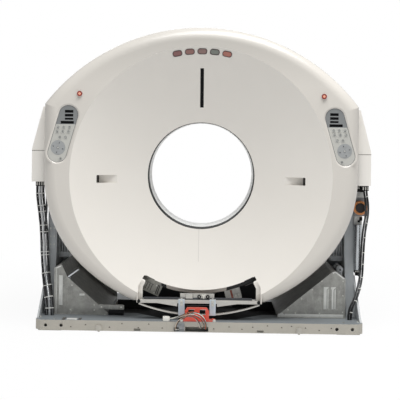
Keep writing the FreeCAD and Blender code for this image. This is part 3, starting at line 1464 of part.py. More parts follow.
def make_coil():
    """A spare length of cable wound in a few turns on a peg, and the plate that carries the peg."""
    radius, wire, pitch = value("coil_radius"), value("coil_wire"), value("coil_pitch")
    turns = int(value("coil_turns"))
    place = Vector(value("coil_across"), -value("bracket_front") - value("coil_wire"),
                   value("axis_height - coil_drop"))
    quarters = []
    for quarter in range(4 * turns + 1):
        angle = quarter * math.pi / 2
        point = place + Vector(radius * math.cos(angle), -pitch * quarter / 4, radius * math.sin(angle))
        way = Vector(-radius * math.sin(angle), -pitch / (2 * math.pi), radius * math.cos(angle)).normalize()
        quarters.append((point, way))
    edges = []
    for (start, start_way), (end, end_way) in zip(quarters, quarters[1:]):
        edges += biarc(start, start_way, end, end_way)
    path = Part.Wire(edges)
    profile = Part.Wire(Part.Circle(place + Vector(radius, 0, 0), quarters[0][1], wire / 2).toShape())
    coil = path.makePipeShell([profile], True, False)
    share = coil.Volume / (math.pi * wire**2 / 4 * path.Length)
    points = path.discretize(60 * turns)
    apart = 60
    gap = min(a.distanceToPoint(b) for i, a in enumerate(points) for b in points[i + apart // 2:]) - wire
    print(f"coiled_cable: {turns} turns, least gap to itself {gap:.2f}, volume share {share:.3f}")
    keep(shaped("coiled_cable", coil))

    across = "coil_across"
    peg_length = "coil_pitch * coil_turns + 2 * coil_wire"
    start_x = "stand_outer + fit_gap"
    plate = box("coil_plate", start_x, "coil_across + coil_radius + 2 * coil_wire", "-bracket_front",
                "-bracket_front + bracket_plate", "axis_height - coil_drop - 1.6 * coil_radius",
                "axis_height - coil_drop + 1.9 * coil_radius")
    lug = box("coil_lug", start_x, f"{start_x} + bracket_plate", "-bracket_front", "-bracket_front + 90",
              "axis_height - coil_drop - 1.6 * coil_radius", "axis_height - coil_drop + 1.9 * coil_radius")
    peg = cylinder("coil_peg", "coil_radius - coil_wire / 2 - fit_gap", peg_length, "front", across,
                   "-bracket_front + 1", "axis_height - coil_drop")
    keep(joined("coil_holder", plate, lug, peg), "cable_bracket")


make_covers()
make_windows()
make_lamps()
make_stop_buttons()
make_panels()
make_liner()
make_tilt_frame()
make_crossmember()
make_rotor()
make_base()
make_stands()
make_stand_boxes()
make_side_covers()
make_transport_lock()
make_duct()
make_looms()
make_coil()

doc.recompute()
broken = [thing.Label for thing in doc.Objects if {"Invalid", "Error"} & set(thing.State)]
assert not broken, f"failed objects: {broken}"
for part in SUB_PARTS:
    assert not part.Shape.isNull() and part.Shape.isValid(), f"{part.Label} has no valid shape"
os.makedirs("parts", exist_ok=True)
for part in SUB_PARTS:
    solids = part.Shape.Solids
    print(f"{part.Label}: {len(solids)} solid(s), {part.Shape.Volume / 1e6:.2f} litres")
    part.Shape.exportStep(f"parts/{part.Label}.step")
print(f"{len(SUB_PARTS)} sub-parts")
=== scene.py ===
# %% [markdown]
# # A tilting scanner gantry with its lower covers off
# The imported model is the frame: its solids already have the right size and place. This script
# gives each of them a finish, adds the small pieces that make the machine look real, such as
# bolts, wires, ties and read-outs, and sets up the camera, the floor and the light.

import json
import math
import random
from collections import namedtuple

import bmesh
import bpy
from mathutils import Matrix, Vector


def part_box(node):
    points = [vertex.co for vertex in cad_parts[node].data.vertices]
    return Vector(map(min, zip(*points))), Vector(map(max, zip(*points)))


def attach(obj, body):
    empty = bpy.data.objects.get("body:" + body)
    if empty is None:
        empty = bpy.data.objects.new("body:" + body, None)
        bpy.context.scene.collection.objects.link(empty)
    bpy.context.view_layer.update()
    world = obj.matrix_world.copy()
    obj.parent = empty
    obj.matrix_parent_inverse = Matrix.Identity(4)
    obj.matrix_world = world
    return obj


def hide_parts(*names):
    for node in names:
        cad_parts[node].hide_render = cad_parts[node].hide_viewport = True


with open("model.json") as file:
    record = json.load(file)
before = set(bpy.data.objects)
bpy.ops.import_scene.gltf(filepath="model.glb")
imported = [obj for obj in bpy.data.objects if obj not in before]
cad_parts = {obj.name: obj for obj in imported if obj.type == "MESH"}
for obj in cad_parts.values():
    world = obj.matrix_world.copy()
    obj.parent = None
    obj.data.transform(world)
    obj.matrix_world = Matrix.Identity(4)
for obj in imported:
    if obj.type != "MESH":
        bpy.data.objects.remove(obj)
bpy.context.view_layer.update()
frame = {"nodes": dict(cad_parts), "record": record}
NODES = frame["nodes"]
SLOT_OF = {part["node"]: part["material_slot"] for part in frame["record"]["subparts"]}

# %% [markdown]
# ## Camera
# The photograph was taken from about six metres away, a little above the middle of the bore.
# Its upright lines stay parallel, so the camera looks level and the lens is shifted downwards
# instead of being tipped. It is turned a little to the left and rolled by less than a degree.
# The roll comes first, because it is about the camera's own line of sight.

# %% Camera
CAMERA_PLACE = Vector((0.058, -5.90, 1.262))
CAMERA_TURN, CAMERA_ROLL = 0.69, 0.74
CAMERA_LENS, SENSOR_WIDTH, LENS_SHIFT = 75.65, 36, -0.157


def new_object(name, data):
    made = bpy.data.objects.new(name, data)
    bpy.context.scene.collection.objects.link(made)
    return made


def turned(axis, degrees):
    return Matrix.Rotation(math.radians(degrees), 4, axis)


camera = new_object("camera", bpy.data.cameras.new("camera"))
camera.data.lens = CAMERA_LENS
camera.data.sensor_width = SENSOR_WIDTH
camera.data.shift_y = LENS_SHIFT
look = turned("Z", CAMERA_TURN) @ turned("X", 90) @ turned("Z", CAMERA_ROLL)
camera.matrix_world = Matrix.Translation(CAMERA_PLACE) @ look
bpy.context.scene.camera = camera
bpy.context.scene.view_settings.view_transform = "Standard"
print("camera at", CAMERA_PLACE[:], "lens", CAMERA_LENS)

# %% [markdown]
# ## The loose harness at the front
# A short bundle of thin wires leaves the base near its connector pocket, arches over the red
# transport lock and ends in a white plug. It is limp and 39 cm long. Its centre line is one
# smooth NURBS curve with no thickness of its own. The wires are wound around it later, so they
# can never leave it, and the points read from it give its length.

# %% The harness route
def evaluated_mesh(thing):
    """The mesh that an object shows once its modifiers have run."""
    bpy.context.view_layer.update()
    return bpy.data.meshes.new_from_object(thing.evaluated_get(bpy.context.evaluated_depsgraph_get()))


def route_curve(name, points, shift=0.0):
    """An open smooth curve whose control points are the route's points, in millimetres."""
    data = bpy.data.curves.new(name, "CURVE")
    data.dimensions = "3D"
    spline = data.splines.new("NURBS")
    spline.points.add(len(points) - 1)
    for control, (across, along, up) in zip(spline.points, points):
        control.co = ((across + shift) / 1000, along / 1000, up / 1000, 1)
    spline.order_u = 3
    spline.use_endpoint_u = True
    data.resolution_u = 16
    return new_object(name, data)


def route_points(curve):
    """The points that a curve without a bevel passes through, in order."""
    mesh = evaluated_mesh(curve)
    points = [vertex.co.copy() for vertex in mesh.vertices]
    bpy.data.meshes.remove(mesh)
    return points


def path_length(points):
    return sum((b - a).length for a, b in zip(points, points[1:]))


HARNESS_ROUTE = [
    (30, -440, 24), (38, -474, 24), (48, -500, 38), (45, -508, 72), (32, -509, 104), (6, -508, 129),
    (-32, -506, 139), (-73, -503, 131), (-112, -498, 114), (-146, -490, 98), (-176, -478, 89),
    (-196, -464, 88),
]
harness_curve = route_curve("front_harness_wires", HARNESS_ROUTE)
harness_points = route_points(harness_curve)
print("harness length", round(path_length(harness_points), 4))

# %% [markdown]
# ## Nodes written as formulas
# The wires and all the finishes are node trees. A tree laid out socket by socket is long to
# read, so one helper adds a node and fills its inputs: a socket is linked, a plain value is set.
# A second one wraps a socket so that it takes part in arithmetic. Each sign in a formula then
# adds one Math node, and a comparison gives a mask of 0 or 1.

# %% Node helpers
def fill(tree, socket, value):
    """Links a Value or a socket to this one, or sets a plain value."""
    if isinstance(value, Value):
        value = value.socket
    if isinstance(value, bpy.types.NodeSocket):
        tree.links.new(value, socket)
    elif value is not None:
        socket.default_value = value


def new_node(tree, kind, inputs=(), **settings):
    """A node with its settings and then its inputs, which go by name or number."""
    made = tree.nodes.new(kind)
    for name, value in settings.items():
        setattr(made, name, value)
    for name, value in dict(inputs).items():
        fill(tree, made.inputs[name], value)
    return made


def maths(tree, operation, *numbers):
    made = new_node(tree, "ShaderNodeMath", dict(enumerate(numbers)), operation=operation)
    return Value(tree, made.outputs[0])


def math_method(operation):
    """A method that adds one Math node."""
    return lambda first, second=None: maths(first.tree, operation, first, second)


class Value:
    """A number in a node tree that is added, multiplied and compared like a plain one."""

    __add__, __sub__, __mul__, __truediv__ = map(math_method, ("ADD", "SUBTRACT", "MULTIPLY", "DIVIDE"))
    __pow__, __abs__, __lt__, __gt__ = map(math_method, ("POWER", "ABSOLUTE", "LESS_THAN", "GREATER_THAN"))
    larger, cosine, sine = map(math_method, ("MAXIMUM", "COSINE", "SINE"))

    def __init__(self, tree, socket):
        self.tree, self.socket = tree, socket

    def __rsub__(self, other):
        return maths(self.tree, "SUBTRACT", other, self)

    def clamped(self):
        """The same number, kept between 0 and 1."""
        self.socket.node.use_clamp = True
        return self


def new_group(kind, name, inputs, output):
    """A node group with its inputs (label, kind, default) and its one output (label, kind)."""
    tree = bpy.data.node_groups.new(name, kind)
    for label, socket_kind, default in inputs:
        socket = tree.interface.new_socket(label, in_out="INPUT", socket_type=f"NodeSocket{socket_kind}")
        if default is not None:
            socket.default_value = default
    tree.interface.new_socket(output[0], in_out="OUTPUT", socket_type=f"NodeSocket{output[1]}")
    return tree, tree.nodes.new("NodeGroupInput").outputs, tree.nodes.new("NodeGroupOutput").inputs


# %% [markdown]
# ## Wires wound around a route
# A cable loom is several thin wires lying side by side with a slow twist. Geometry Nodes can
# make all of them from the one curve: the curve is duplicated once for each wire, every copy is
# pushed sideways by an angle that depends on its number and on the distance along the curve,
# and a round profile is swept along the copies. The wires get their colours by number.

# %% The tree that winds wires
WIRE_STEP = 0.006
STRAY_SCALE, STRAY_APART = 16.0, 3.7


def wound(tree, start):
    """The bare wires' mesh and the number of the wire that each point belongs to."""
    copies = new_node(tree, "GeometryNodeDuplicateElements",
                      {"Geometry": start["Geometry"], "Amount": start["Wires"]}, domain="SPLINE")
    kept = new_node(tree, "GeometryNodeStoreNamedAttribute", {
        "Geometry": copies.outputs["Geometry"], "Name": "wire", "Value": copies.outputs["Duplicate Index"],
    }, data_type="INT", domain="CURVE")
    even = new_node(tree, "GeometryNodeResampleCurve",
                    {"Curve": kept.outputs["Geometry"], "Length": WIRE_STEP}, mode="LENGTH")
    read = new_node(tree, "GeometryNodeInputNamedAttribute", {"Name": "wire"}, data_type="INT")
    wire = Value(tree, read.outputs["Attribute"])
    along = Value(tree, tree.nodes.new("GeometryNodeSplineParameter").outputs["Length"])
    angle = (wire / start["Wires"] + along * start["Turns"]) * (2 * math.pi)
    noise = new_node(tree, "ShaderNodeTexNoise", {"Scale": STRAY_SCALE, "W": wire * STRAY_APART},
                     noise_dimensions="4D")
    radius = (Value(tree, noise.outputs[0]) - 0.5) * start["Looseness"] + start["Spread"]
    normal = tree.nodes.new("GeometryNodeInputNormal").outputs[0]
    tangent = tree.nodes.new("GeometryNodeInputTangent").outputs[0]
    side = new_node(tree, "ShaderNodeVectorMath", {0: normal, 1: tangent}, operation="CROSS_PRODUCT")
    moves = {}
    for number, (way, wave) in enumerate(((normal, angle.cosine()), (side.outputs[0], angle.sine()))):
        push = new_node(tree, "ShaderNodeVectorMath", {0: way, "Scale": wave * radius}, operation="SCALE")
        moves[number] = push.outputs[0]
    offset = new_node(tree, "ShaderNodeVectorMath", moves).outputs[0]
    pushed = new_node(tree, "GeometryNodeSetPosition", {"Geometry": even.outputs["Curve"], "Offset": offset})
    profile = new_node(tree, "GeometryNodeCurvePrimitiveCircle",
                       {"Resolution": start["Sides"], "Radius": start["Thickness"]})
    swept = new_node(tree, "GeometryNodeCurveToMesh", {
        "Curve": pushed.outputs["Geometry"], "Profile Curve": profile.outputs["Curve"], "Fill Caps": True})
    real = new_node(tree, "GeometryNodeRealizeInstances", {"Geometry": swept.outputs["Mesh"]})
    smooth = new_node(tree, "GeometryNodeSetShadeSmooth", {"Geometry": real.outputs["Geometry"]})
    return smooth.outputs["Geometry"], wire


def wires_tree(name, materials):
    """The wound wires with one material for each wire, taken in turn."""
    tree, start, end = new_group("GeometryNodeTree", name, [
        ("Geometry", "Geometry", None), ("Wires", "Int", 5), ("Spread", "Float", 0.003),
        ("Thickness", "Float", 0.0018), ("Turns", "Float", 4.0), ("Looseness", "Float", 0.0006),
        ("Sides", "Int", 8)], ("Geometry", "Geometry"))
    flow, wire = wound(tree, start)
    for index, material in enumerate(materials):
        same = new_node(tree, "FunctionNodeCompare", data_type="INT", operation="EQUAL")
        for socket in same.inputs:
            if socket.type == "INT":
                fill(tree, socket, wire if socket.name == "A" else index)
        paint = new_node(tree, "GeometryNodeSetMaterial", {
            "Geometry": flow, "Selection": same.outputs[0], "Material": material})
        flow = paint.outputs["Geometry"]
    fill(tree, end[0], flow)
    return tree


# %% [markdown]
# ## Effects that many finishes share
# Real surfaces are never one flat colour. Mouldings have a faint cloudiness and an orange-peel
# skin, sheet metal has scuffs and bright edges, and whatever faces up gathers dust. Each effect
# is one node group, built once, that gives back a mask or a height. The materials decide what a
# mask does, so the same group can darken paint on one piece and brighten metal on another.

# %% Places and noise
Place = namedtuple("Place", "x y z")


def split(tree, socket):
    """The three numbers of a vector socket."""
    made = new_node(tree, "ShaderNodeSeparateXYZ", {0: socket})
    return Place(*(Value(tree, output) for output in made.outputs))


def object_place(tree):
    return tree.nodes.new("ShaderNodeTexCoord").outputs["Object"]


def facing(tree):
    return tree.nodes.new("ShaderNodeNewGeometry").outputs["Normal"]


def noise_at(tree, where, **inputs):
    made = new_node(tree, "ShaderNodeTexNoise", {"Vector": where, **inputs})
    return Value(tree, made.outputs[0])


def effect(name, output, **inputs):
    """An empty group with number inputs and one number as output."""
    sockets = [(label, "Float", default) for label, default in inputs.items()]
    return new_group("ShaderNodeTree", name, sockets, (output, "Float"))


# %% The five effects
def build_clouds():
    tree, start, end = effect("Clouds", "Mask", Scale=3.0, Contrast=1.0)
    noise = noise_at(tree, object_place(tree), Scale=start["Scale"], Detail=4.0, Roughness=0.6)
    fill(tree, end[0], ((noise - 0.5) * start["Contrast"] + 0.5).clamped())


def build_skin():
    tree, start, end = effect("Skin", "Height", Scale=400.0)
    noise = noise_at(tree, object_place(tree), Scale=start["Scale"], Detail=2.0, Roughness=0.5)
    fill(tree, end[0], noise)


def build_dust():
    """Patchy, and only on what faces up."""
    tree, start, end = effect("Dust", "Mask", Amount=0.3)
    up = split(tree, facing(tree)).z.larger(0.0) ** 3.0
    noise = noise_at(tree, object_place(tree), Scale=14.0, Detail=6.0, Roughness=0.7)
    fill(tree, end[0], (up * (noise * 1.6) * start["Amount"]).clamped())


def build_scuffs():
    """Short marks, stretched along a slanted axis."""
    tree, start, end = effect("Scuffs", "Mask", Scale=30.0, Amount=0.3)
    stretch = new_node(tree, "ShaderNodeMapping", {
        "Vector": object_place(tree), "Rotation": (0.0, 0.5, 0.3), "Scale": (1.0, 1.0, 0.18)})
    noise = noise_at(tree, stretch.outputs[0], Scale=start["Scale"], Detail=8.0, Roughness=0.75,
                     Distortion=0.6)
    fill(tree, end[0], ((noise - 0.58) * 9.0).clamped() * start["Amount"])


def build_edges():
    """Bright where a softened normal departs from the true one, which is along sharp edges."""
    tree, start, end = effect("Worn edges", "Mask", Width=0.003, Amount=1.0)
    soft = new_node(tree, "ShaderNodeBevel", {"Radius": start["Width"]}, samples=4)
    same = new_node(tree, "ShaderNodeVectorMath", {0: soft.outputs[0], 1: facing(tree)},
                    operation="DOT_PRODUCT")
    apart = ((1.0 - Value(tree, same.outputs["Value"])) * 6.0).clamped()
    noise = noise_at(tree, object_place(tree), Scale=60.0, Detail=5.0, Roughness=0.7)
    broken = ((noise - 0.35) * 3.0).clamped()
    fill(tree, end[0], apart * broken * start["Amount"])


for build in (build_clouds, build_skin, build_dust, build_scuffs, build_edges):
    build()
print("effect groups", [tree.name for tree in bpy.data.node_groups])

# %% [markdown]
# ## Finishes
# One function makes most materials: a base colour that clouds towards a second tone, scuffs and
# dust over it, bare metal along worn edges and a fine skin in the bump. Colours are picked as
# screen values from 0 to 255, but shaders work in linear light, so each one is converted.

# %% The common finish
def screen(red, green, blue):
    """A screen colour as linear light."""
    shares = [part / 255 for part in (red, green, blue)]
    return (*(((c + 0.055) / 1.055) ** 2.4 if c > 10 / 255 else c / 12.92 for c in shares), 1.0)


def darker(colour, share):
    return (*(part * share for part in colour[:3]), 1.0)


def mixed(tree, mask, first, second):
    """A colour that goes from first to second as the mask goes from 0 to 1."""
    return new_node(tree, "ShaderNodeMix", {0: mask, 6: first, 7: second}, data_type="RGBA").outputs[2]


def placed(tree, name, **inputs):
    """Puts an effect into a material with its own values."""
    made = tree.nodes.new("ShaderNodeGroup")
    made.node_tree = bpy.data.node_groups[name]
    for label, value in inputs.items():
        made.inputs[label].default_value = value
    return made.outputs[0]


MATERIALS = {}
DUST, BARE_METAL = (196, 190, 178), (205, 205, 200)
CLOUD_SHARE, SCUFF_SHARE, BUMP_DEPTH = 0.86, 0.45, 0.001


def finish(name, colour, second=None, roughness=0.45, metallic=0.0, coat=0.0, clouds=3.0, contrast=1.2,
           scuffs=0.0, scuff_scale=30.0, scuff_colour=None, dust=0.0, edges=0.0, edge_colour=BARE_METAL,
           skin=400.0, bump=0.05, gloss=0.5):
    """A material under this name; all its colours are screen colours."""
    made = MATERIALS[name] = bpy.data.materials.new(name)
    made.use_nodes = True
    tree = made.node_tree
    shader = tree.nodes["Principled BSDF"].inputs
    shader["Roughness"].default_value = roughness
    shader["Metallic"].default_value = metallic
    shader["Coat Weight"].default_value = coat
    shader["Specular IOR Level"].default_value = gloss
    tone = screen(*colour)
    mask = placed(tree, "Clouds", Scale=clouds, Contrast=contrast)
    result = mixed(tree, mask, tone, screen(*second) if second else darker(tone, CLOUD_SHARE))
    if scuffs:
        marks = screen(*scuff_colour) if scuff_colour else darker(tone, SCUFF_SHARE)
        result = mixed(tree, placed(tree, "Scuffs", Scale=scuff_scale, Amount=scuffs), result, marks)
    if edges:
        result = mixed(tree, placed(tree, "Worn edges", Amount=edges), result, screen(*edge_colour))
    if dust:
        result = mixed(tree, placed(tree, "Dust", Amount=dust), result, screen(*DUST))
    fill(tree, shader["Base Color"], result)
    if bump:
        relief = new_node(tree, "ShaderNodeBump", {
            "Strength": bump, "Distance": BUMP_DEPTH, "Height": placed(tree, "Skin", Scale=skin)})
        fill(tree, shader["Normal"], relief.outputs[0])


# %% [markdown]
# ## Plastics and paints
# The covers are warm white mouldings, the base and the stands are painted steel, and the panes
# and read-outs are black glass. Mouldings get a little coat and hardly any wear. Paint gets
# scuffs and bright edges, because that is where a steel frame is knocked when it is moved.

# %% Plastics and paints
finish("cover_paint", (233, 229, 222), (228, 223, 215), roughness=0.38, coat=0.15, clouds=1.2, dust=0.12,
       skin=260)
finish("lamp_rim", (72, 60, 58), roughness=0.35, bump=0.03)
finish("dark_glass", (6, 6, 7), (10, 10, 12), roughness=0.3, gloss=0.1, bump=0.0)
finish("key_light", (206, 206, 200), roughness=0.4, bump=0.04)
finish("pad_grey", (168, 170, 170), roughness=0.42, bump=0.04)
finish("icon_grey", (84, 86, 88), roughness=0.5, bump=0.0)
finish("white_plug", (232, 230, 222), roughness=0.4, scuffs=0.2)
finish("black_plastic", (16, 16, 18), roughness=0.5, dust=0.2, bump=0.08, gloss=0.25)
# Trim sheet: its pale tone is painted highlight on flanges, ribs and plates; its scuffs, bright edges and
# dust are wear.
finish("trim_sheet", (218, 219, 215), (200, 201, 197), roughness=0.42, metallic=0.15, clouds=30, scuffs=0.5,
       scuff_scale=50, edges=0.5, dust=0.2)
finish("seam_shadow", (96, 90, 84), roughness=0.8, gloss=0.1, bump=0.0)
finish("blank_sticker", (226, 226, 220), roughness=0.35, bump=0.0)
finish("red_paint", (228, 84, 62), (210, 68, 50), roughness=0.36, coat=0.2, scuffs=0.4, scuff_scale=60,
       scuff_colour=(244, 150, 124), edges=0.7, edge_colour=(244, 176, 150), dust=0.3)
finish("base_paint", (186, 181, 170), (172, 168, 158), roughness=0.5, clouds=6, scuffs=0.35, scuff_scale=26,
       scuff_colour=(112, 108, 100), edges=0.5, edge_colour=(226, 224, 216), dust=0.35, skin=300, bump=0.10)
finish("stand_paint", (184, 188, 190), (168, 172, 174), roughness=0.42, clouds=8, scuffs=0.3,
       scuff_colour=(98, 104, 108), edges=0.5, dust=0.3, skin=320, bump=0.08)
finish("grey_bracket", (150, 153, 155), scuffs=0.3, edges=0.5, dust=0.2)
finish("tube_housing", (222, 221, 214), roughness=0.4, dust=0.2)
finish("bore_liner", (250, 250, 248), (246, 246, 244), roughness=0.6, gloss=0.15, skin=300, bump=0.03)
finish("lamp_lens", (150, 120, 112), roughness=0.3, coat=0.2, bump=0.02)
finish("stop_red", (150, 40, 34), (128, 30, 28), roughness=0.25, coat=0.4, bump=0.02)
finish("panel_film", (200, 199, 192), (190, 189, 183), roughness=0.35, coat=0.15, bump=0.02)
print("plastics and paints", len(MATERIALS))

# %% [markdown]
# ## Metals and cable jackets
# Galvanised sheet is cloudy and bright where it was rubbed, castings are duller, and screws and
# bearings are nearly plain metal. Every wire of a loom has its own jacket colour, and the same
# short call makes all of them.

# %% Metals and cable jackets
finish("galvanised_sheet", (166, 166, 161), (134, 134, 130), roughness=0.46, metallic=0.3, clouds=22,
       contrast=2.2, scuffs=0.7, scuff_scale=44, scuff_colour=(196, 196, 190), edges=0.6, dust=0.2, skin=700,
       bump=0.12)
finish("frame_casting", (128, 132, 134), roughness=0.5, metallic=0.4, clouds=12, scuffs=0.3, edges=0.4)
finish("rotor_casting", (232, 224, 214), (214, 206, 196), clouds=9, scuffs=0.25, edges=0.4, dust=0.1)
finish("bearing_steel", (150, 152, 156), roughness=0.3, metallic=0.9, clouds=30, bump=0.02)
finish("weight_steel", (98, 100, 104), metallic=0.8, scuffs=0.3, edges=0.4)
finish("jack_steel", (196, 192, 182), (170, 166, 158), roughness=0.4, metallic=0.3, scuffs=0.4, edges=0.6)
finish("bearing_bronze", (168, 128, 72), roughness=0.35, metallic=0.9, bump=0.02)
finish("white_bar", (206, 203, 196), (184, 182, 176), roughness=0.4, metallic=0.1, scuffs=0.3, edges=0.3,
       dust=0.15)
finish("detector_housing", (78, 80, 84), metallic=0.5, edges=0.4)
finish("brushed_box", (158, 156, 148), (128, 127, 120), roughness=0.38, metallic=0.6, clouds=34, contrast=2.0,
       scuffs=0.5, scuff_scale=70, edges=0.6, skin=900, bump=0.1)
finish("power_housing", (206, 204, 198), (190, 188, 182), roughness=0.42, scuffs=0.2, edges=0.4)
finish("duct_sheet", (206, 210, 212), (176, 180, 184), roughness=0.24, metallic=0.75, clouds=14, contrast=1.6,
       edges=0.4, skin=900)
finish("screw_zinc", (206, 206, 200), roughness=0.3, metallic=0.8, bump=0.02)
finish("black_cable", (30, 30, 32), (20, 20, 22), roughness=0.5, dust=0.3)
finish("orange_cable", (255, 186, 118), (250, 152, 92), roughness=0.3, coat=0.4, clouds=60, bump=0.03)
finish("harness_wire", (70, 58, 46), (44, 40, 36), roughness=0.5, clouds=40, bump=0.04)
for jacket, colour in (("white", (226, 224, 214)), ("red", (186, 44, 34)), ("black", (26, 26, 28)),
                       ("tan", (176, 138, 96)), ("grey", (112, 114, 116))):
    finish(f"wire_{jacket}", colour, roughness=0.42, clouds=40, contrast=0.6, skin=900, bump=0.03)
finish("tie_white", (236, 236, 230), roughness=0.35, bump=0.0)
finish("conduit_pale", (188, 190, 190), (150, 152, 154), roughness=0.3, metallic=0.6, clouds=40, bump=0.03)
finish("rust_stripe", (150, 84, 66), roughness=0.5)

# %% [markdown]
# ## Finishes that change from place to place
# The bore's tube wall is black near the front, where the scan window is, and white behind it.
# The five lamp lenses differ in tint, the stop buttons have a pale middle, and the panel films
# are darker behind the read-outs. All of these depend only on where a point lies, in metres, so
# a mask on Object coordinates is enough, and no picture is needed.

# %% Recolouring helpers
def recolour(name, make_colour):
    """The base colour of a finish passes through make_colour(tree, old colour, place)."""
    tree = MATERIALS[name].node_tree
    target = tree.nodes["Principled BSDF"].inputs["Base Color"]
    old = target.links[0].from_socket
    fill(tree, target, make_colour(tree, old, split(tree, object_place(tree))))


def between(value, low, high):
    return (value > low) * (value < high)


def distance_squared(x, z, centre_x, centre_z):
    return (x - centre_x) ** 2.0 + (z - centre_z) ** 2.0


# %% Liner, lamps, buttons and panels
LINER_BLACK_TO = -0.06
LENS_TINTS = [(134, 84, 82), (146, 100, 92), (138, 108, 102), (116, 126, 118), (178, 108, 92)]
LENS_ROW_SCALE, LENS_CLOUDS = 2.44, 0.12
STOP_CENTRE, STOP_MIDDLE = (0.795, 1.536), 0.0085
FILM_DARK_FROM = 1.3355


def liner_colour(tree, old, place):
    return mixed(tree, place.y < LINER_BLACK_TO, old, screen(3, 3, 3))


def lens_colour(tree, old, place):
    """Five tints side by side; a colour ramp with hard steps picks one."""
    ramp = tree.nodes.new("ShaderNodeValToRGB")
    ramp.color_ramp.interpolation = "CONSTANT"
    marks = ramp.color_ramp.elements
    while len(marks) < len(LENS_TINTS):
        marks.new(1.0)
    for number, tint in enumerate(LENS_TINTS):
        marks[number].position = number / len(LENS_TINTS)
        marks[number].color = screen(*tint)
    fill(tree, ramp.inputs[0], (place.x * LENS_ROW_SCALE + 0.5).clamped())
    return mixed(tree, LENS_CLOUDS, ramp.outputs[0], old)


def stop_colour(tree, old, place):
    middle = distance_squared(abs(place.x), place.z, *STOP_CENTRE) < STOP_MIDDLE ** 2
    return mixed(tree, middle, old, screen(244, 176, 146))


def film_colour(tree, old, place):
    """Darker film behind the read-outs, whose lower edge is level on both panels."""
    return mixed(tree, place.z > FILM_DARK_FROM, old, screen(132, 134, 134))


# %% Covers and base
BORE_HEIGHT, DISH_RADIUS, GANTRY_HALF_WIDTH = 1.0, 0.8572, 1.0366
SHADE_BAND_FROM, SHADE_BAND_RISE = 1.60, 3.0
JOINT_X, JOINT_HALF, JOINT_UP, JOINT_TONE = -0.010, 0.0016, (0.43, 0.64), 0.45
LEDGE_ACROSS, LEDGE_ALONG, LEDGE_UP = (0.295, 0.356), (-0.402, -0.360), (0.20, 0.345)
BASE_SHADE_FROM, FACES_UP, FACES_FRONT = -0.1, 0.6, -0.3


def cover_colour(tree, old, place):
    """A hairline joint low in the dish, a greyer shell around it that darkens towards the top, and dark
    ledges in the opening; the grey and the dark are painted shade.
    """
    joint = (abs(place.x - JOINT_X) < JOINT_HALF) * between(place.z, *JOINT_UP) * JOINT_TONE
    # Painted shade: around the dish, within the gantry's width, the shell is greyer and darker towards the
    # top.
    outside = distance_squared(place.x, place.z, 0.0, BORE_HEIGHT) > DISH_RADIUS ** 2
    gantry = abs(place.x) < GANTRY_HALF_WIDTH
    sides = mixed(tree, gantry, screen(243, 239, 232), old)
    band = mixed(tree, ((place.z - SHADE_BAND_FROM) * SHADE_BAND_RISE).clamped(), screen(216, 211, 203),
                 screen(190, 186, 179))
    shell = mixed(tree, outside * gantry, sides, band)
    # Painted shade: the ledges in the opening are near-black, which hides their lit front edges.
    level = between(place.y, *LEDGE_ALONG) * between(place.z, *LEDGE_UP)
    shaded_ledge = between(abs(place.x), *LEDGE_ACROSS) * level
    shell = mixed(tree, shaded_ledge, shell, screen(44, 42, 40))
    return mixed(tree, joint, shell, screen(170, 166, 158))


def base_colour(tree, old, place):
    """Painted shade: faces that look up are a darker, bluer grey, and the rear beam's front is painted
    near-black as deep shade.
    """
    normal = split(tree, facing(tree))
    # Painted shade with a blue cast on the faces that look up.
    painted = mixed(tree, normal.z > FACES_UP, old, screen(124, 129, 132))
    # Painted deep shade on the rear beam's front.
    return mixed(tree, (normal.y < FACES_FRONT) * (place.y > BASE_SHADE_FROM), painted, screen(36, 36, 36))


# %% Rotor, frame and sensor bar
RIM_CENTRE, RIM_HALF, RIM_TOP, RIM_SHADE_FROM = -0.02, 0.20, 0.5, -0.255
FRAME_SHADE_TOP = 0.318
BAR_CENTRE, STRAP_OFFSET, STRAP_HALF, STRAP_FRONT = -0.013, 0.1015, 0.0205, -0.4235
PEG_CENTRE, PEG_RADIUS = (1.084, 0.795), 0.0345


def rotor_colour(tree, old, place):
    """The drum keeps its pale colour low in the middle of the opening; elsewhere it is painted a duller grey,
    and near-black on the left: painted shade.
    """
    middle = abs(place.x - RIM_CENTRE) < RIM_HALF
    # Painted shade: near-black on the left, a duller grey elsewhere.
    sides = mixed(tree, place.x < RIM_SHADE_FROM, screen(9, 9, 10), screen(176, 174, 168))
    return mixed(tree, middle * (place.z < RIM_TOP), sides, old)


def casting_colour(tree, old, place):
    """Below a set height the tilt frame is painted near-black: painted shade for the dark space below the
    drum.
    """
    return mixed(tree, place.z < FRAME_SHADE_TOP, old, screen(22, 22, 24))


def bar_colour(tree, old, place):
    """The two straps around the sensor bar are a bluish zinc."""
    strap = abs(abs(place.x - BAR_CENTRE) - STRAP_OFFSET) < STRAP_HALF
    return mixed(tree, strap * (place.y < STRAP_FRONT), old, screen(192, 202, 210))


def bracket_colour(tree, old, place):
    """The peg inside the coiled lead is painted dark: painted shade in the coil's hollow."""
    peg = distance_squared(place.x, place.z, *PEG_CENTRE) < PEG_RADIUS ** 2
    return mixed(tree, peg, old, screen(34, 26, 24))


for name, make_colour in (
        ("bore_liner", liner_colour), ("lamp_lens", lens_colour), ("stop_red", stop_colour),
        ("cover_paint", cover_colour), ("panel_film", film_colour), ("white_bar", bar_colour),
        ("grey_bracket", bracket_colour), ("base_paint", base_colour), ("rotor_casting", rotor_colour),
        ("frame_casting", casting_colour)):
    recolour(name, make_colour)

# %% Every solid gets its finish
for name, piece in NODES.items():
    if not piece.material_slots:
        piece.data.materials.append(None)
    for holder in piece.material_slots:
        holder.material = MATERIALS[SLOT_OF[name]]
print("finishes", len(MATERIALS))

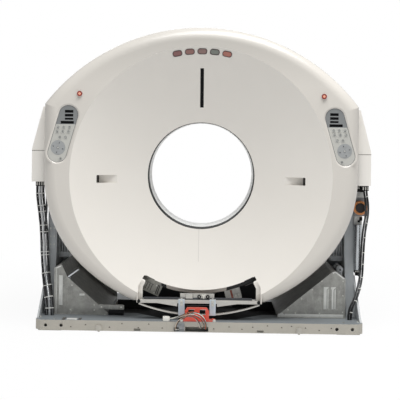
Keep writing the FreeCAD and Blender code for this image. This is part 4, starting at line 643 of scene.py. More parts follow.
# %% [markdown]
# ## Building helpers
# The added pieces are mostly sheet metal, plugs and mouldings, so they start as plain outlines
# in millimetres that are pushed into prisms, and a Bevel modifier rounds their edges. Sizes and
# places are in the same frame as the solids. Every piece ends as a plain mesh with its material
# and the body that it rides on.

# %% Outlines
def rectangle(left, bottom, right, top):
    return [(left, bottom), (right, bottom), (right, top), (left, top)]


def oblong(wide, high):
    return rectangle(-wide / 2, -high / 2, wide / 2, high / 2)


def disc(across, up, radius, count=20):
    turn = 2 * math.pi / count
    return [(across + radius * math.cos(turn * n), up + radius * math.sin(turn * n)) for n in range(count)]


def leaned(outline, centre, degrees):
    """An outline around the origin, turned and then moved to a centre."""
    c, s = math.cos(math.radians(degrees)), math.sin(math.radians(degrees))
    return [(centre[0] + x * c - z * s, centre[1] + x * s + z * c) for x, z in outline]


# %% From outlines to finished pieces
SHARP_ANGLE = math.radians(40)
ADDED = []


def baked(thing):
    """Turns an object with its modifiers into a plain mesh object of the same name."""
    mesh, name = evaluated_mesh(thing), thing.name
    thing.name = f"{name}_old"
    made = new_object(name, mesh)
    bpy.data.objects.remove(thing)
    return made


def grown(thing, tree, **values):
    """Runs a geometry tree on an object with its own values and keeps the mesh that it gives."""
    modifier = thing.modifiers.new("grow", "NODES")
    modifier.node_group = tree
    for item in tree.interface.items_tree:
        if item.item_type == "SOCKET" and item.in_out == "INPUT" and item.name in values:
            modifier[item.identifier] = values[item.name]
    return baked(thing)


def prism(work, outline, axis, near, far):
    """Adds an outline to the bmesh as a prism along axis 0, 1 or 2."""
    rings = []
    for level in (near, far):
        ring = []
        for pair in outline:
            spot = [part / 1000 for part in pair]
            spot.insert(axis, level / 1000)
            ring.append(work.verts.new(spot))
        rings.append(ring)
    faces = [work.faces.new(rings[0]), work.faces.new(rings[1][::-1])]
    for index in range(len(outline)):
        after = (index + 1) % len(outline)
        faces.append(work.faces.new([rings[0][after], rings[0][index], rings[1][index], rings[1][after]]))
    bmesh.ops.recalc_face_normals(work, faces=faces)


def softened(name, shapes, bevel, segments):
    """Blocks (low, high) and prisms (outline, axis, near, far) as one object with rounded edges."""
    work = bmesh.new()
    for shape in shapes:
        if len(shape) == 2:
            (left, front, bottom), (right, back, top) = shape
            shape = rectangle(left, front, right, back), 2, bottom, top
        prism(work, *shape)
    mesh = bpy.data.meshes.new(name)
    work.to_mesh(mesh)
    work.free()
    made = new_object(name, mesh)
    edge = made.modifiers.new("edge", "BEVEL")
    edge.width = bevel / 1000
    edge.segments = segments
    edge.limit_method = "ANGLE"
    return baked(made)


def smoothed(mesh):
    """Smooth shading, with the edges that are sharper than 40 degrees kept crisp."""
    for face in mesh.polygons:
        face.use_smooth = True
    mesh.set_sharp_from_angle(angle=SHARP_ANGLE)


def done(piece, body, material=None, replaces=()):
    """Gives a finished piece its material and body, and hides the solids that it replaces."""
    if material:
        piece.data.materials.clear()
        piece.data.materials.append(MATERIALS[material])
    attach(piece, body)
    if replaces:
        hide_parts(*replaces)
    ADDED.append(piece.name)
    return piece


def piece_of(name, body, material, shapes, bevel=0.6, replaces=()):
    """One finished piece from a list of blocks and prisms."""
    made = softened(name, shapes, bevel, 2)
    smoothed(made.data)
    return done(made, body, material, replaces)


# %% [markdown]
# ## Setting small parts out
# Bolts, screws and cable ties repeat by the dozen. One small shape of each kind is enough: a
# Geometry Nodes tree puts it on every point of a mesh, turns it to that point's own direction
# and gives it a random spin about its axis, as a fitter's spanner would leave it.

# %% The tree that sets parts out
FRONT, UP = (0, -1, 0), (0, 0, 1)
WHOLE_TURN = 6.28


def build_set_out():
    tree, start, end = new_group("GeometryNodeTree", "Set out", [
        ("Geometry", "Geometry", None), ("Shape", "Object", None), ("Spin", "Float", 1.0),
        ("Seed", "Int", 7), ("Finish", "Material", None)], ("Geometry", "Geometry"))
    shape = new_node(tree, "GeometryNodeObjectInfo", {"Object": start["Shape"]})
    way = new_node(tree, "GeometryNodeInputNamedAttribute", {"Name": "way"}, data_type="FLOAT_VECTOR")
    aligned = new_node(tree, "FunctionNodeAlignRotationToVector", {"Vector": way.outputs["Attribute"]},
                       axis="Z")
    spots = new_node(tree, "GeometryNodeInstanceOnPoints", {
        "Points": start["Geometry"], "Instance": shape.outputs["Geometry"],
        "Rotation": aligned.outputs["Rotation"]})
    chance = new_node(tree, "FunctionNodeRandomValue", {"Seed": start["Seed"]})
    spin = Value(tree, chance.outputs[1]) * WHOLE_TURN * start["Spin"]
    about = new_node(tree, "ShaderNodeCombineXYZ", {"Z": spin})
    spun = new_node(tree, "GeometryNodeRotateInstances", {
        "Instances": spots.outputs["Instances"], "Rotation": about.outputs[0]})
    real = new_node(tree, "GeometryNodeRealizeInstances", {"Geometry": spun.outputs["Instances"]})
    paint = new_node(tree, "GeometryNodeSetMaterial", {
        "Geometry": real.outputs["Geometry"], "Material": start["Finish"]})
    fill(tree, end[0], paint.outputs["Geometry"])
    return tree


SET_OUT = build_set_out()


def set_out(name, shape, spots, body, material, ways=None, spin=1.0):
    """Copies of a shape at spots in millimetres; they face forwards unless ways are given."""
    mesh = bpy.data.meshes.new(name)
    mesh.from_pydata([Vector(spot) / 1000 for spot in spots], [], [])
    kept = mesh.attributes.new("way", "FLOAT_VECTOR", "POINT")
    for item, way in zip(kept.data, ways or [FRONT] * len(spots)):
        item.vector = Vector(way).normalized()
    made = grown(new_object(name, mesh), SET_OUT, Shape=shape, Spin=spin, Finish=MATERIALS[material])
    return done(made, body)


# %% Small shapes to copy
PATTERNS = []


def pattern(name, shapes, bevel=0.5):
    """A small shape to copy, with its foot at the origin and its axis along Z."""
    made = softened(name, shapes, bevel, 1)
    made.data.set_sharp_from_angle(angle=SHARP_ANGLE)
    PATTERNS.append(made)
    return made


HEX_BOLT = pattern("hex_bolt", [(disc(0, 0, 11), 2, -0.5, 1.6), (disc(0, 0, 7.5, 6), 2, 1.6, 7)])
SMALL_SCREW = pattern("small_screw", [(disc(0, 0, 5, 12), 2, -0.5, 2.2), (disc(0, 0, 2.2, 6), 2, 2.2, 2.7)],
                      0.3)
print("patterns", [len(shape.data.polygons) for shape in PATTERNS])

# %% [markdown]
# ## The harness wires and their plug
# The harness gets seven wires in five colours, and two looser bundles of four stray from it.
# The plug on its end is a white moulding with a raised key on top and dark contacts in its end,
# and a small black tie holds the wires together near the middle.

# %% Harness wires
WIRE_COLOURS = ["wire_white", "wire_grey", "wire_black", "wire_tan", "wire_red", "wire_black", "wire_white"]
STRAY_ROUTES = [
    [(26, -440, 26), (30, -476, 32), (34, -503, 54), (28, -512, 82), (8, -514, 106), (-24, -513, 121),
     (-60, -509, 122), (-98, -503, 114), (-134, -493, 100), (-170, -479, 91), (-190, -467, 90)],
    [(-150, -489, 26), (-146, -500, 52), (-128, -508, 84), (-96, -511, 106), (-62, -512, 116),
     (-26, -513, 106), (-4, -511, 82), (6, -500, 54), (12, -478, 28), (12, -444, 24)],
]
harness_tree = wires_tree("Harness wires", [MATERIALS[name] for name in WIRE_COLOURS])
harness = grown(harness_curve, harness_tree, Wires=7, Spread=0.0034, Thickness=0.0015, Turns=5.0,
                Looseness=0.0012, Sides=7)
done(harness, "base", replaces=["front_harness"])
for number, route in enumerate(STRAY_ROUTES, 1):
    stray = grown(route_curve(f"harness_stray_{number}", route), harness_tree, Wires=4, Spread=0.0040,
                  Thickness=0.0014, Turns=3.0, Looseness=0.0040, Sides=7)
    done(stray, "base")
print("harness wires", len(harness.data.polygons))

# %% Tie and plug
TIE_PLACE = (-0.07, 0.13)
CONTACT_STEP, CONTACT_RISE = 8, 9


def node_box(node):
    low, high = [Vector(corner) * 1000 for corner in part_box(node)]
    return low, high, (low + high) / 2


tie_ring = pattern("harness_tie_shape", [(disc(0, 0, 7.2), 2, -1.6, 1.6), (oblong(5, 16), 2, -1.6, 1.6)], 0.4)
tie_spot = min(harness_points, key=lambda spot: abs(spot.x - TIE_PLACE[0]) + abs(spot.z - TIE_PLACE[1]))
tie_index = harness_points.index(tie_spot)
tie_way = harness_points[tie_index + 1] - harness_points[tie_index - 1]
harness_tie = set_out("harness_tie", tie_ring, [tie_spot * 1000], "base", "black_plastic",
                      [tie_way], 0.0)
low, high, middle = node_box("harness_plug")
plug = piece_of("plug_body", "base", "white_plug", [
    ((low.x, low.y, low.z), (high.x - 8, high.y, high.z - 3)),
    ((high.x - 9, low.y + 3, low.z + 3), (high.x, high.y - 3, high.z - 5)),
    ((low.x + 5, middle.y - 4, high.z - 3.5), (high.x - 13, middle.y + 4, high.z)),
], 1.2, ["harness_plug"])
contact_shapes = []
for column in (-1, 0, 1):
    for row in (0, 1):
        along, up = middle.y + CONTACT_STEP * column, low.z + 4 + CONTACT_RISE * row
        contact_shapes.append(((low.x - 0.4, along - 2.5, up), (low.x + 1, along + 2.5, up + 5)))
contacts = piece_of("plug_contacts", "base", "black_plastic", contact_shapes, 0.3)
print("harness tie at", tie_spot[:])

# %% [markdown]
# ## The coiled orange lead
# On the right stand a spare length of orange lead hangs on a peg, in two layers of three turns.
# Its centre line is one NURBS spline with twelve points to a turn, and the curve's own bevel
# gives it its thickness. Such a line runs a little inside its points, so they lie 3% further out.

# %% Orange lead
COIL_CENTRE, COIL_RADIUS, COIL_PITCH, COIL_TURNS = (1084, -158, 795), 36, 9, 3
TURN_STEPS, POINTS_OUT, LAYER_GAP, LAYER_RISE = 12, 1.03, 8.6, 1.7
LAYER_STEPS = TURN_STEPS * COIL_TURNS
coil_route = []
for step in range(2 * LAYER_STEPS + 1):
    angle = step * math.pi / 6
    radius = COIL_RADIUS * POINTS_OUT + min(LAYER_GAP, max(0, step - LAYER_STEPS) * LAYER_RISE)
    forward = min(step, 2 * LAYER_STEPS - step) / TURN_STEPS
    coil_route.append((COIL_CENTRE[0] + radius * math.cos(angle), COIL_CENTRE[1] - COIL_PITCH * forward,
                       COIL_CENTRE[2] + radius * math.sin(angle)))
coil_line = route_curve("coil_line", coil_route)
coil_points = route_points(coil_line)
bpy.data.objects.remove(coil_line)
coil = route_curve("orange_lead", coil_route)
coil.data.bevel_depth = 0.004
coil.data.bevel_resolution = 3
coil.data.use_fill_caps = True
coil.data.materials.append(MATERIALS["orange_cable"])
done(coil, "base", replaces=["coiled_cable"])
print("coil length", round(path_length(coil_points), 3))

# %% [markdown]
# ## Looms on the stands
# Each side has a loom that comes out of the lower side cover, follows the stand down and goes
# into the base. On the left two bundles of black wires lie on both sides of a pale conduit, with
# a slim branch above; on the right there are two slim bundles. The same tree winds all of them,
# with other numbers, and white ties hold each loom together.

# %% Looms
LEFT_LOOM_ROUTE = [
    (-1094, -172, 952), (-1098, -173, 895), (-1094, -172, 825), (-1083, -172, 750), (-1071, -172, 660),
    (-1065, -172, 560), (-1060, -175, 460), (-1050, -192, 370), (-1034, -240, 290), (-1008, -300, 205),
    (-992, -338, 134), (-992, -338, 70.3),
]
LEFT_BRANCH_ROUTE = [
    (-1056, -172, 952), (-1053, -172, 900), (-1051, -172, 830), (-1051, -176, 760), (-1053, -178, 700),
    (-1058, -176, 640), (-1062, -176, 590),
]
RIGHT_LOOM_ROUTE = [
    (1103, -235, 952), (1106, -236, 900), (1118, -238, 830), (1119, -236, 750), (1104, -228, 660),
    (1097, -218, 560), (1094, -212, 470), (1092, -212, 400), (1086, -224, 335), (1068, -262, 275),
    (1036, -318, 205), (992, -348, 138), (992, -348, 70.3),
]
LOOM_COLOURS = ["wire_black", "black_cable", "wire_black", "wire_grey", "black_cable", "wire_black"]
loom_tree = wires_tree("Loom wires", [MATERIALS[name] for name in LOOM_COLOURS])
conduit_tree = wires_tree("Conduit", [MATERIALS["conduit_pale"]])
BUNDLE = {"Wires": 6, "Spread": 0.0062, "Thickness": 0.0028, "Turns": 2.2, "Looseness": 0.0022, "Sides": 7}
SLIM = {**BUNDLE, "Spread": 0.0048, "Thickness": 0.0024}
CONDUIT = {"Wires": 1, "Spread": 0.0, "Thickness": 0.0088, "Turns": 0.0, "Looseness": 0.0, "Sides": 14}
LOOM_LINES = {}
for name, route, shift, tree, values, replaces in (
        ("left_loom_outer", LEFT_LOOM_ROUTE, -20, loom_tree, BUNDLE, ["left_cable_loom"]),
        ("left_loom_conduit", LEFT_LOOM_ROUTE, 0, conduit_tree, CONDUIT, ()),
        ("left_loom_inner", LEFT_LOOM_ROUTE, 20, loom_tree, BUNDLE, ()),
        ("right_loom_inner", RIGHT_LOOM_ROUTE, -8, loom_tree, SLIM, ["right_cable_loom"]),
        ("right_loom_outer", RIGHT_LOOM_ROUTE, 8, loom_tree, SLIM, ()),
        ("left_loom_branch", LEFT_BRANCH_ROUTE, 0, loom_tree, SLIM, ())):
    curve = route_curve(name, route, shift)
    LOOM_LINES[name] = route_points(curve)
    done(grown(curve, tree, **values), "base", replaces=replaces)
print("looms", {name: len(points) for name, points in LOOM_LINES.items()})


# %% Ties around the looms
def squared(part, power):
    """A sine or cosine made squarer, with its sign kept."""
    return math.copysign(abs(part) ** power, part)


def ties(name, line, heights, half_wide, half_deep, band=1.6, count=24):
    """White ties around a loom at the given heights, square to its line."""
    turns = [2 * math.pi * number / count for number in range(count)]
    wide, deep = half_wide + band, half_deep + band
    outer = [(wide * squared(math.cos(turn), 0.55), deep * squared(math.sin(turn), 0.75)) for turn in turns]
    head = [(half_wide * 0.25 + x, -half_deep - 3.5 + y) for x, y in oblong(7, 5)]
    shape = pattern(f"{name}_shape", [(outer, 2, -2.2, 2.2), (head, 2, -3, 3)], 0.4)
    points = LOOM_LINES[line]
    inside = range(1, len(points) - 1)
    near = [min(inside, key=lambda n: abs(points[n].z * 1000 - height)) for height in heights]
    set_out(name, shape, [points[n] * 1000 for n in near], "base", "tie_white",
            [points[n - 1] - points[n + 1] for n in near], 0.0)


ties("left_loom_ties", "left_loom_conduit", [868, 784, 742, 648, 606, 470, 448, 330, 250, 186, 118], 29.5,
     9.5)
ties("right_loom_ties", "right_loom_outer", [880, 700, 600, 500, 420, 330, 262, 190, 120], 8.5, 8.5)
print("pieces with the looms", len(ADDED))

# %% [markdown]
# ## Panels and keys on the front cover
# The two leaning panels carry four dark read-outs each, nine keys and a cursor pad, inside a
# thin dark band. The keys travel, so the mark on each key is its own thin piece that rides on
# that key. The marks are plain arrows, bars and rings, which need no words.

# %% Marks
PANEL_CENTRES = {"left": (-904, 1273), "right": (904, 1273)}
PANEL_LEAN = {"left": -16, "right": 16}
READOUTS = [(12, 67, 138, 156), (12, 67, 113, 130), (12, 67, 92, 105), (-15, 71, 66, 84)]
READOUT_FRONT, READOUT_BACK, MARK_PROUD, MARK_SUNK = -422.4, -421.3, 0.35, 0.1
KEY_RING, RING_LINE = 7.6, 1.7
PAD_ARROWS_OUT, PAD_FRAME, PAD_FRAME_LINE, PAD_LIGHT = 33, 11, 2.2, 5.5


def stroke(points, width):
    """A bent line as prisms' outlines, one for each run."""
    outlines = []
    for (ax, az), (bx, bz) in zip(points, points[1:]):
        length = math.hypot(bx - ax, bz - az)
        nx, nz = -(bz - az) / length * width / 2, (bx - ax) / length * width / 2
        outlines.append([(ax + nx, az + nz), (bx + nx, bz + nz), (bx - nx, bz - nz), (ax - nx, az - nz)])
    return outlines


def closed_stroke(outline, width):
    return stroke(outline + outline[:1], width)


def arrow(angle, size):
    """A solid arrow head that points in the given direction."""
    return leaned([(-size * 0.6, -size * 0.5), (size * 0.8, 0), (-size * 0.6, size * 0.5)], (0, 0), angle)


MARKS = [
    [arrow(90, 7)], [arrow(0, 7)], [arrow(-90, 7)], [arrow(180, 7)], [oblong(7, 7)],
    [arrow(0, 5), oblong(2, 8)], [oblong(10, 2.4), oblong(2.4, 10)], [oblong(10, 2.4)], [disc(0, 0, 4, 14)],
]


def marks_on(name, node, outlines_at, lean):
    """Thin marks on the front of a key or pad; each outline has a place of its own."""
    front = node_box(node)[0].y
    near, far = front - MARK_PROUD, front + MARK_SUNK
    shapes = [(leaned(outline, spot, lean), 1, near, far) for outline, spot in outlines_at]
    piece_of(name, node, "icon_grey", shapes, 0.05)


# %% A band around each panel
GASKET_COUNT, GASKET_HALF_LONG = 48, 129
GASKET_RINGS = [(60.2, -422.5), (62.0, -423.8), (63.4, -423.8), (64.6, -422.5)]


def closed_mesh(name, corners, faces):
    """A mesh from corners in metres and faces, which are all turned outwards."""
    mesh = bpy.data.meshes.new(name)
    mesh.from_pydata(corners, [], faces)
    work = bmesh.new()
    work.from_mesh(mesh)
    bmesh.ops.recalc_face_normals(work, faces=work.faces)
    work.to_mesh(mesh)
    work.free()
    return mesh


def ring_faces(count, pairs, start=0):
    """Quads between pairs of rings of the same count of points."""
    return [(start + a * count + n, start + a * count + (n + 1) % count,
             start + b * count + (n + 1) % count, start + b * count + n)
            for a, b in pairs for n in range(count)]


def gasket(side):
    """A thin raised band around a panel's long outline with its round ends."""
    corners = []
    for radius, along in GASKET_RINGS:
        outline = []
        for number in range(GASKET_COUNT):
            turn = 2 * math.pi * number / GASKET_COUNT
            rise = GASKET_HALF_LONG if math.sin(turn) >= 0 else -GASKET_HALF_LONG
            outline.append((radius * math.cos(turn), radius * math.sin(turn) + rise))
        slanted = leaned(outline, PANEL_CENTRES[side], PANEL_LEAN[side])
        corners += [Vector((x, along, z)) / 1000 for x, z in slanted]
    faces = ring_faces(GASKET_COUNT, [(0, 1), (1, 2), (2, 3), (3, 0)])
    mesh = closed_mesh(f"{side}_panel_gasket", corners, faces)
    done(new_object(mesh.name, mesh), "tilt_unit", "icon_grey")


# %% Read-outs, marks and pads
for side, (centre_x, centre_z) in PANEL_CENTRES.items():
    lean, inward = PANEL_LEAN[side], 1 if side == "left" else -1
    glass = []
    for near_edge, far_edge, bottom, top in READOUTS:
        left, right = sorted((centre_x + inward * near_edge, centre_x + inward * far_edge))
        glass.append(((left, READOUT_FRONT, centre_z + bottom), (right, READOUT_BACK, centre_z + top)))
    piece_of(f"{side}_readouts", "tilt_unit", "dark_glass", glass, 0.4)
    for number, mark in enumerate(MARKS, 1):
        key = f"{side}_key_{number}"
        middle = node_box(key)[2]
        outlines = closed_stroke(disc(0, 0, KEY_RING, 16), RING_LINE) + mark
        outlines_at = [(outline, (middle.x, middle.z)) for outline in outlines]
        marks_on(f"{key}_mark", key, outlines_at, lean)
    pad = f"{side}_cursor_pad"
    low, high, middle = node_box(pad)
    outlines_at = []
    for angle in (0, 90, 180, 270):
        turn = math.radians(angle + lean)
        spot = (middle.x + PAD_ARROWS_OUT * math.cos(turn), middle.z + PAD_ARROWS_OUT * math.sin(turn))
        outlines_at.append((arrow(angle, 8), spot))
    for outline in closed_stroke(oblong(PAD_FRAME, PAD_FRAME), PAD_FRAME_LINE):
        outlines_at.append((outline, (middle.x, middle.z)))
    marks_on(f"{pad}_marks", pad, outlines_at, lean)
    piece_of(f"{pad}_lights", pad, "key_light",
             [(disc(middle.x, middle.z, PAD_LIGHT), 1, low.y - 0.7, low.y + MARK_SUNK)], 0.3)
    gasket(side)
print("pieces with the panels", len(ADDED))

# %% [markdown]
# ## The row of lamps
# Five small lamps sit in an arc near the top of the dish. The dish is a body of revolution, so
# a ray shot at the same radius, but beside the lamps, gives its depth there, and each lamp is
# draped over it: a dark rim that stands a little proud and a tinted lens with a flat crown.

# %% Lamp rims and lenses
RAY_START, AXIS_UP, PROFILE_ANGLE = -900, 1000, 155
LAMP_RADIUS, LAMP_STEP, LAMP_SIZE, PILL_COUNT = 823, 5.7, (64, 37), 40


def radial(angle, radius):
    """A spot in the XZ plane at an angle from straight down, positive to the right."""
    turn = math.radians(angle)
    return radius * math.sin(turn), AXIS_UP - radius * math.cos(turn)


def face_at(node, across, up):
    """Where a ray shot from the front at this spot, in millimetres, meets a solid."""
    found, spot = NODES[node].ray_cast(Vector((across, RAY_START, up)) / 1000, Vector((0, 1, 0)))[:2]
    return spot * 1000 if found else None


def dish_depth(radius):
    """How far forward the dish is at this radius, measured clear of the lamps."""
    return face_at("front_cover", *radial(PROFILE_ANGLE, radius)).y


def pill(wide, high):
    half, shape = (wide - high) / 2, []
    for number in range(PILL_COUNT):
        turn = 2 * math.pi * (number + 0.5) / PILL_COUNT
        across = high / 2 * math.cos(turn)
        shape.append((across + math.copysign(half, across), high / 2 * math.sin(turn)))
    return shape


def draped(name, material, loops, capped):
    """Stacked pill loops (size cut, height above the dish) for all five lamps, in one mesh."""
    corners, faces = [], []
    last = len(loops) - 1
    pairs = [(loop, loop + 1) for loop in range(last)] + ([] if capped else [(last, 0)])
    for number in range(-2, 3):
        angle = math.radians(180 - LAMP_STEP * number)
        way = Vector((math.sin(angle), 0, -math.cos(angle)))
        side = Vector((math.cos(angle), 0, math.sin(angle)))
        start = len(corners)
        for trim, height in loops:
            for sideways, outwards in pill(LAMP_SIZE[0] - 2 * trim, LAMP_SIZE[1] - 2 * trim):
                spot = way * (LAMP_RADIUS + outwards) - side * sideways
                depth = dish_depth(math.hypot(spot.x, spot.z)) - height
                corners.append(Vector((spot.x, depth, spot.z + AXIS_UP)) / 1000)
        faces += ring_faces(PILL_COUNT, pairs, start)
        if capped:
            faces.append(tuple(start + last * PILL_COUNT + n for n in range(PILL_COUNT)))
    mesh = closed_mesh(name, corners, faces)
    smoothed(mesh)
    done(new_object(name, mesh), "tilt_unit", material, ["indicator_lamps"] if capped else ())


draped("lamp_rims", "lamp_rim", [(0, -3), (0, 2.4), (1.0, 3.2), (4.2, 3.2), (4.8, 1.0)], False)
draped("lamp_lenses", "lamp_lens", [(4.4, -2.5), (4.4, 1.6), (6.0, 2.4), (14.0, 2.6)], True)
print("dish at the lamps", round(dish_depth(LAMP_RADIUS), 1))

# %% [markdown]
# ## Seams and laser slots
# The side covers are two mouldings with a shadow line between them, and the laser beams leave
# through narrow dark slots at the outer ends of the two level recesses. A thin dark piece is
# enough for both, because the gap itself is finer than a pixel.

# %% Seams and slots
SEAM_OUT, SEAM_FRONT, SEAM_BOTTOM, SEAM_TOP = 1130.5, -300.6, 1158.6, 1161.6
SLOT_X, SLOT_UP = 686, 976


def mirrored(sign, low, high):
    """A block given for the right side; a sign of -1 mirrors it to the left."""
    left, right = sorted((sign * low[0], sign * high[0]))
    return (left, *low[1:]), (right, *high[1:])


for side, sign in (("left", -1), ("right", 1)):
    piece_of(f"{side}_cover_seam", "base", "seam_shadow", [
        mirrored(sign, (1046, SEAM_FRONT, SEAM_BOTTOM), (SEAM_OUT, -299.5, SEAM_TOP)),
        mirrored(sign, (1129.6, SEAM_FRONT, SEAM_BOTTOM), (SEAM_OUT, -SEAM_FRONT, SEAM_TOP)),
    ], 0.2)
    front = face_at("front_cover", sign * SLOT_X, SLOT_UP).y
    piece_of(f"{side}_beam_slot", "tilt_unit", "dark_glass", [
        mirrored(sign, (SLOT_X - 2, front - 1.2, SLOT_UP - 24), (SLOT_X + 3.8, front + 0.5, SLOT_UP + 24)),
    ], 0.4)
    print(side, "slot at depth", round(front, 1))

# %% [markdown]
# ## Inside the service opening
# With the lower cover off, the rotor shows behind the opening: a brushed cooler on the left with
# dark ribs and a flange, and a pale power unit on the right with a red-brown stripe. They turn
# about the bore, so their details are placed by angle and radius and ride on the rotor.

# %% Rotor details
COOLER_ANGLE, COOLER_SCREWS, POWER_SCREWS = -24, -24.2, 15.6
cooler_front, power_front = node_box("tube_cooler")[0].y, node_box("power_unit")[0].y
print("cooler front", round(cooler_front, 1), "power front", round(power_front, 1))


def faces_at(node, *spots):
    """Where rays at several spots meet a solid, without those that miss."""
    return [hit for hit in (face_at(node, *spot) for spot in spots) if hit]


def radial_block(angle, inner, outer, half_wide, near, far):
    """A prism that stands along a radius, drawn from the front."""
    spot = radial(angle, (inner + outer) / 2)
    return leaned(oblong(2 * half_wide, outer - inner), spot, angle), 1, near, far


piece_of("cooler_ribs", "rotor", "black_plastic", [
    radial_block(COOLER_ANGLE + offset, 776, 838, 2.2, cooler_front - 5, cooler_front + 4)
    for offset in (3.4, 4.2)
] + [
    radial_block(COOLER_ANGLE + offset, 782, 832, 1.6, cooler_front - 7, cooler_front + 2)
    for offset in (-3.0, -1.8, -0.6, 0.6)
], 0.5)
piece_of("cooler_flange", "rotor", "brushed_box", [
    radial_block(COOLER_ANGLE - 0.7, 738, 783, 60, cooler_front - 2, cooler_front + 0.5)], 0.4)
piece_of("power_stripe", "rotor", "rust_stripe", [
    radial_block(15.4, 782, 838, 7, power_front - 1.2, power_front + 1)], 0.3)
piece_of("power_sockets", "rotor", "white_plug", [
    radial_block(angle, 816, 830, 6, power_front - 9, power_front + 1) for angle in (17.2, 18.4)], 1.0)
screws = []
for node, angle in (("tube_cooler", COOLER_SCREWS), ("power_unit", POWER_SCREWS)):
    corners = [radial(angle + aside, radius) for aside in (-2.9, 2.9) for radius in (784, 836)]
    screws += faces_at(node, *corners)
set_out("rotor_box_screws", SMALL_SCREW, screws, "rotor", "screw_zinc")

# %% [markdown]
# ## The sensor bar
# A white bar crosses the opening in front of the rotor, held by two bolted straps. Along its top
# lie a dark sensor strip, a grey relay cap in its frame and two round sockets with a plug
# between them, and black buffers close its ends.

# %% Sensor bar
BAR_MIDDLE, BAR_BACK, SOCKET_UP = -13, -394, 219
piece_of("sensor_strip", "tilt_unit", "detector_housing", [
    ((-362, -404, 197.5), (346, -380, 210)),
], 0.8)
piece_of("sensor_bar_ends", "tilt_unit", "black_plastic", [
    (disc(sign * 391 - 3, 189, 11), 1, -427, -404) for sign in (-1, 1)
], 1.0)
piece_of("sensor_relay_cap", "tilt_unit", "grey_bracket", [
    ((-84, -402, 205), (-46, BAR_BACK, 236)), ((-78, -405, 212), (-54, -401, 230)),
], 1.2)
piece_of("sensor_frame", "tilt_unit", "black_plastic", [
    ((-90, -396.5, 202), (-40, -394.4, 234.5)),
], 0.4)
piece_of("sensor_sockets", "tilt_unit", "black_plastic", [
    (disc(across, SOCKET_UP, 12.5), 1, -409, BAR_BACK) for across in (0, 56)
], 0.8)
FORKED_PLUG = [(18, 232), (26, 219), (26, 206), (33, 206), (33, 219), (41, 232), (34, 232), (29.5, 224),
               (25, 232)]
piece_of("sensor_plugs", "tilt_unit", "white_plug", [
    (FORKED_PLUG, 1, -411, BAR_BACK),
    (disc(0, SOCKET_UP, 3, 14), 1, -410.5, -408), (disc(56, SOCKET_UP, 3, 14), 1, -410.5, -408),
], 0.6)
strap_spots = faces_at("lower_crossmember", *((across, up) for across in (-114.5, 88.5) for up in (190, 172)))
set_out("strap_bolts", HEX_BOLT, strap_spots, "tilt_unit", "screw_zinc")
bar_spots = faces_at("lower_crossmember", *(
    (across, 188) for across in range(-340, 341, 85) if 130 < abs(across - BAR_MIDDLE) < 330))
set_out("bar_screws", SMALL_SCREW, bar_spots, "tilt_unit", "screw_zinc")
print("bolts and screws on the bar", len(strap_spots), len(bar_spots))

# %% [markdown]
# ## The lock, the base and its fittings
# The red transport lock is bolted to the base in front, and the edges of its two windows shine
# where the paint is gone. Beside it sit a grey connector bracket and a black plug in the base's
# pocket. A blank sticker and two black strips lie on the base's top, and the sheet-metal boxes
# get their screws. Most of these are flat stock, so blocks and prisms are enough.

# %% Lock and base fittings
POCKET_FLOOR, BASE_TOP = 8, 69.5
set_out("lock_bolts", HEX_BOLT, faces_at("transport_lock", (-112, 76), (100, 76)), "base",
        "screw_zinc")
piece_of("lock_edges", "base", "screw_zinc", [
    ((left, -470.6, 146), (left + 38, -463, 149)) for left in (-63, 10)
], 0.3)
piece_of("pocket_plug", "base", "black_plastic", [
    ((-160, -487, 12), (-128, -478, 34)), ((-156, -491, 16), (-132, -486, 30)),
], 1.0)
piece_of("pocket_plug_pins", "base", "white_plug", [
    ((-153 + 9 * n, -493.5, 19), (-148 + 9 * n, -490, 27)) for n in range(3)
], 0.5)
piece_of("bracket_plate", "base", "grey_bracket", [
    ((-146, -484, POCKET_FLOOR), (-92, -479, 66)), ((-146, -496, POCKET_FLOOR), (-92, -483, 13)),
    ((-128, -490, 24), (-108, -483, 52)),
], 1.0)
piece_of("base_sticker", "base", "blank_sticker", [
    ((-858, -462, BASE_TOP), (-792, -420, 70.6)),
], 0.2)
piece_of("base_strips", "base", "black_plastic", [
    ((-888, -470, BASE_TOP), (-868, -408, 73)), ((-782, -466, BASE_TOP), (-764, -412, 72)),
], 0.8)
piece_of("left_foot_bracket", "base", "galvanised_sheet", [
    ([(-668, 108), (-500, 108), (-500, 136), (-512, 140), (-668, 140)], 1, -313, -299.5),
], 0.8)
# A black block below the foot bracket stands for the shade there: painted shade.
piece_of("left_foot_block", "base", "black_plastic", [
    ((-604, -310, 69), (-502, -298, 108.5)),
], 1.5)
print("pieces with the base fittings", len(ADDED))

# %% Screws on the base and the boxes
SLOPE_START, SLOPE_RISE = (609, 57), 0.862
slope = [(across, SLOPE_START[1] + (abs(across) - SLOPE_START[0]) * SLOPE_RISE)
         for across in (-628, -700, -780, -850)]
hits = faces_at("left_stand_box", *slope, (-955, 110), (-955, 230), (-955, 350), (-700, 100), (-860, 100))
hits += faces_at("right_stand_box", (591, 122), (813, 316), (680, 196), (750, 258), (955, 110), (955, 220),
                 (955, 316), (640, 100), (800, 100))
set_out("box_screws", SMALL_SCREW, hits, "base", "screw_zinc")
set_out("foot_bolts", SMALL_SCREW, [(-650, -313, 124), (-520, -313, 124)], "base",
        "screw_zinc")
corners = [(across, along, 70) for across in (-1040, 1040) for along in (-400, 400)]
set_out("base_bolts", HEX_BOLT, corners, "base", "screw_zinc", [UP] * len(corners))
print("box screws", len(hits))

# %% [markdown]
# ## On and beside the stands
# A pale plate with eight screws is fixed to the left stand's front, connector blocks sit where
# the looms come out of the side covers, and a bright bent clip braces the left box. A ray finds
# the stand's front first, so that the plate lies on it and isn't sunk or floating.

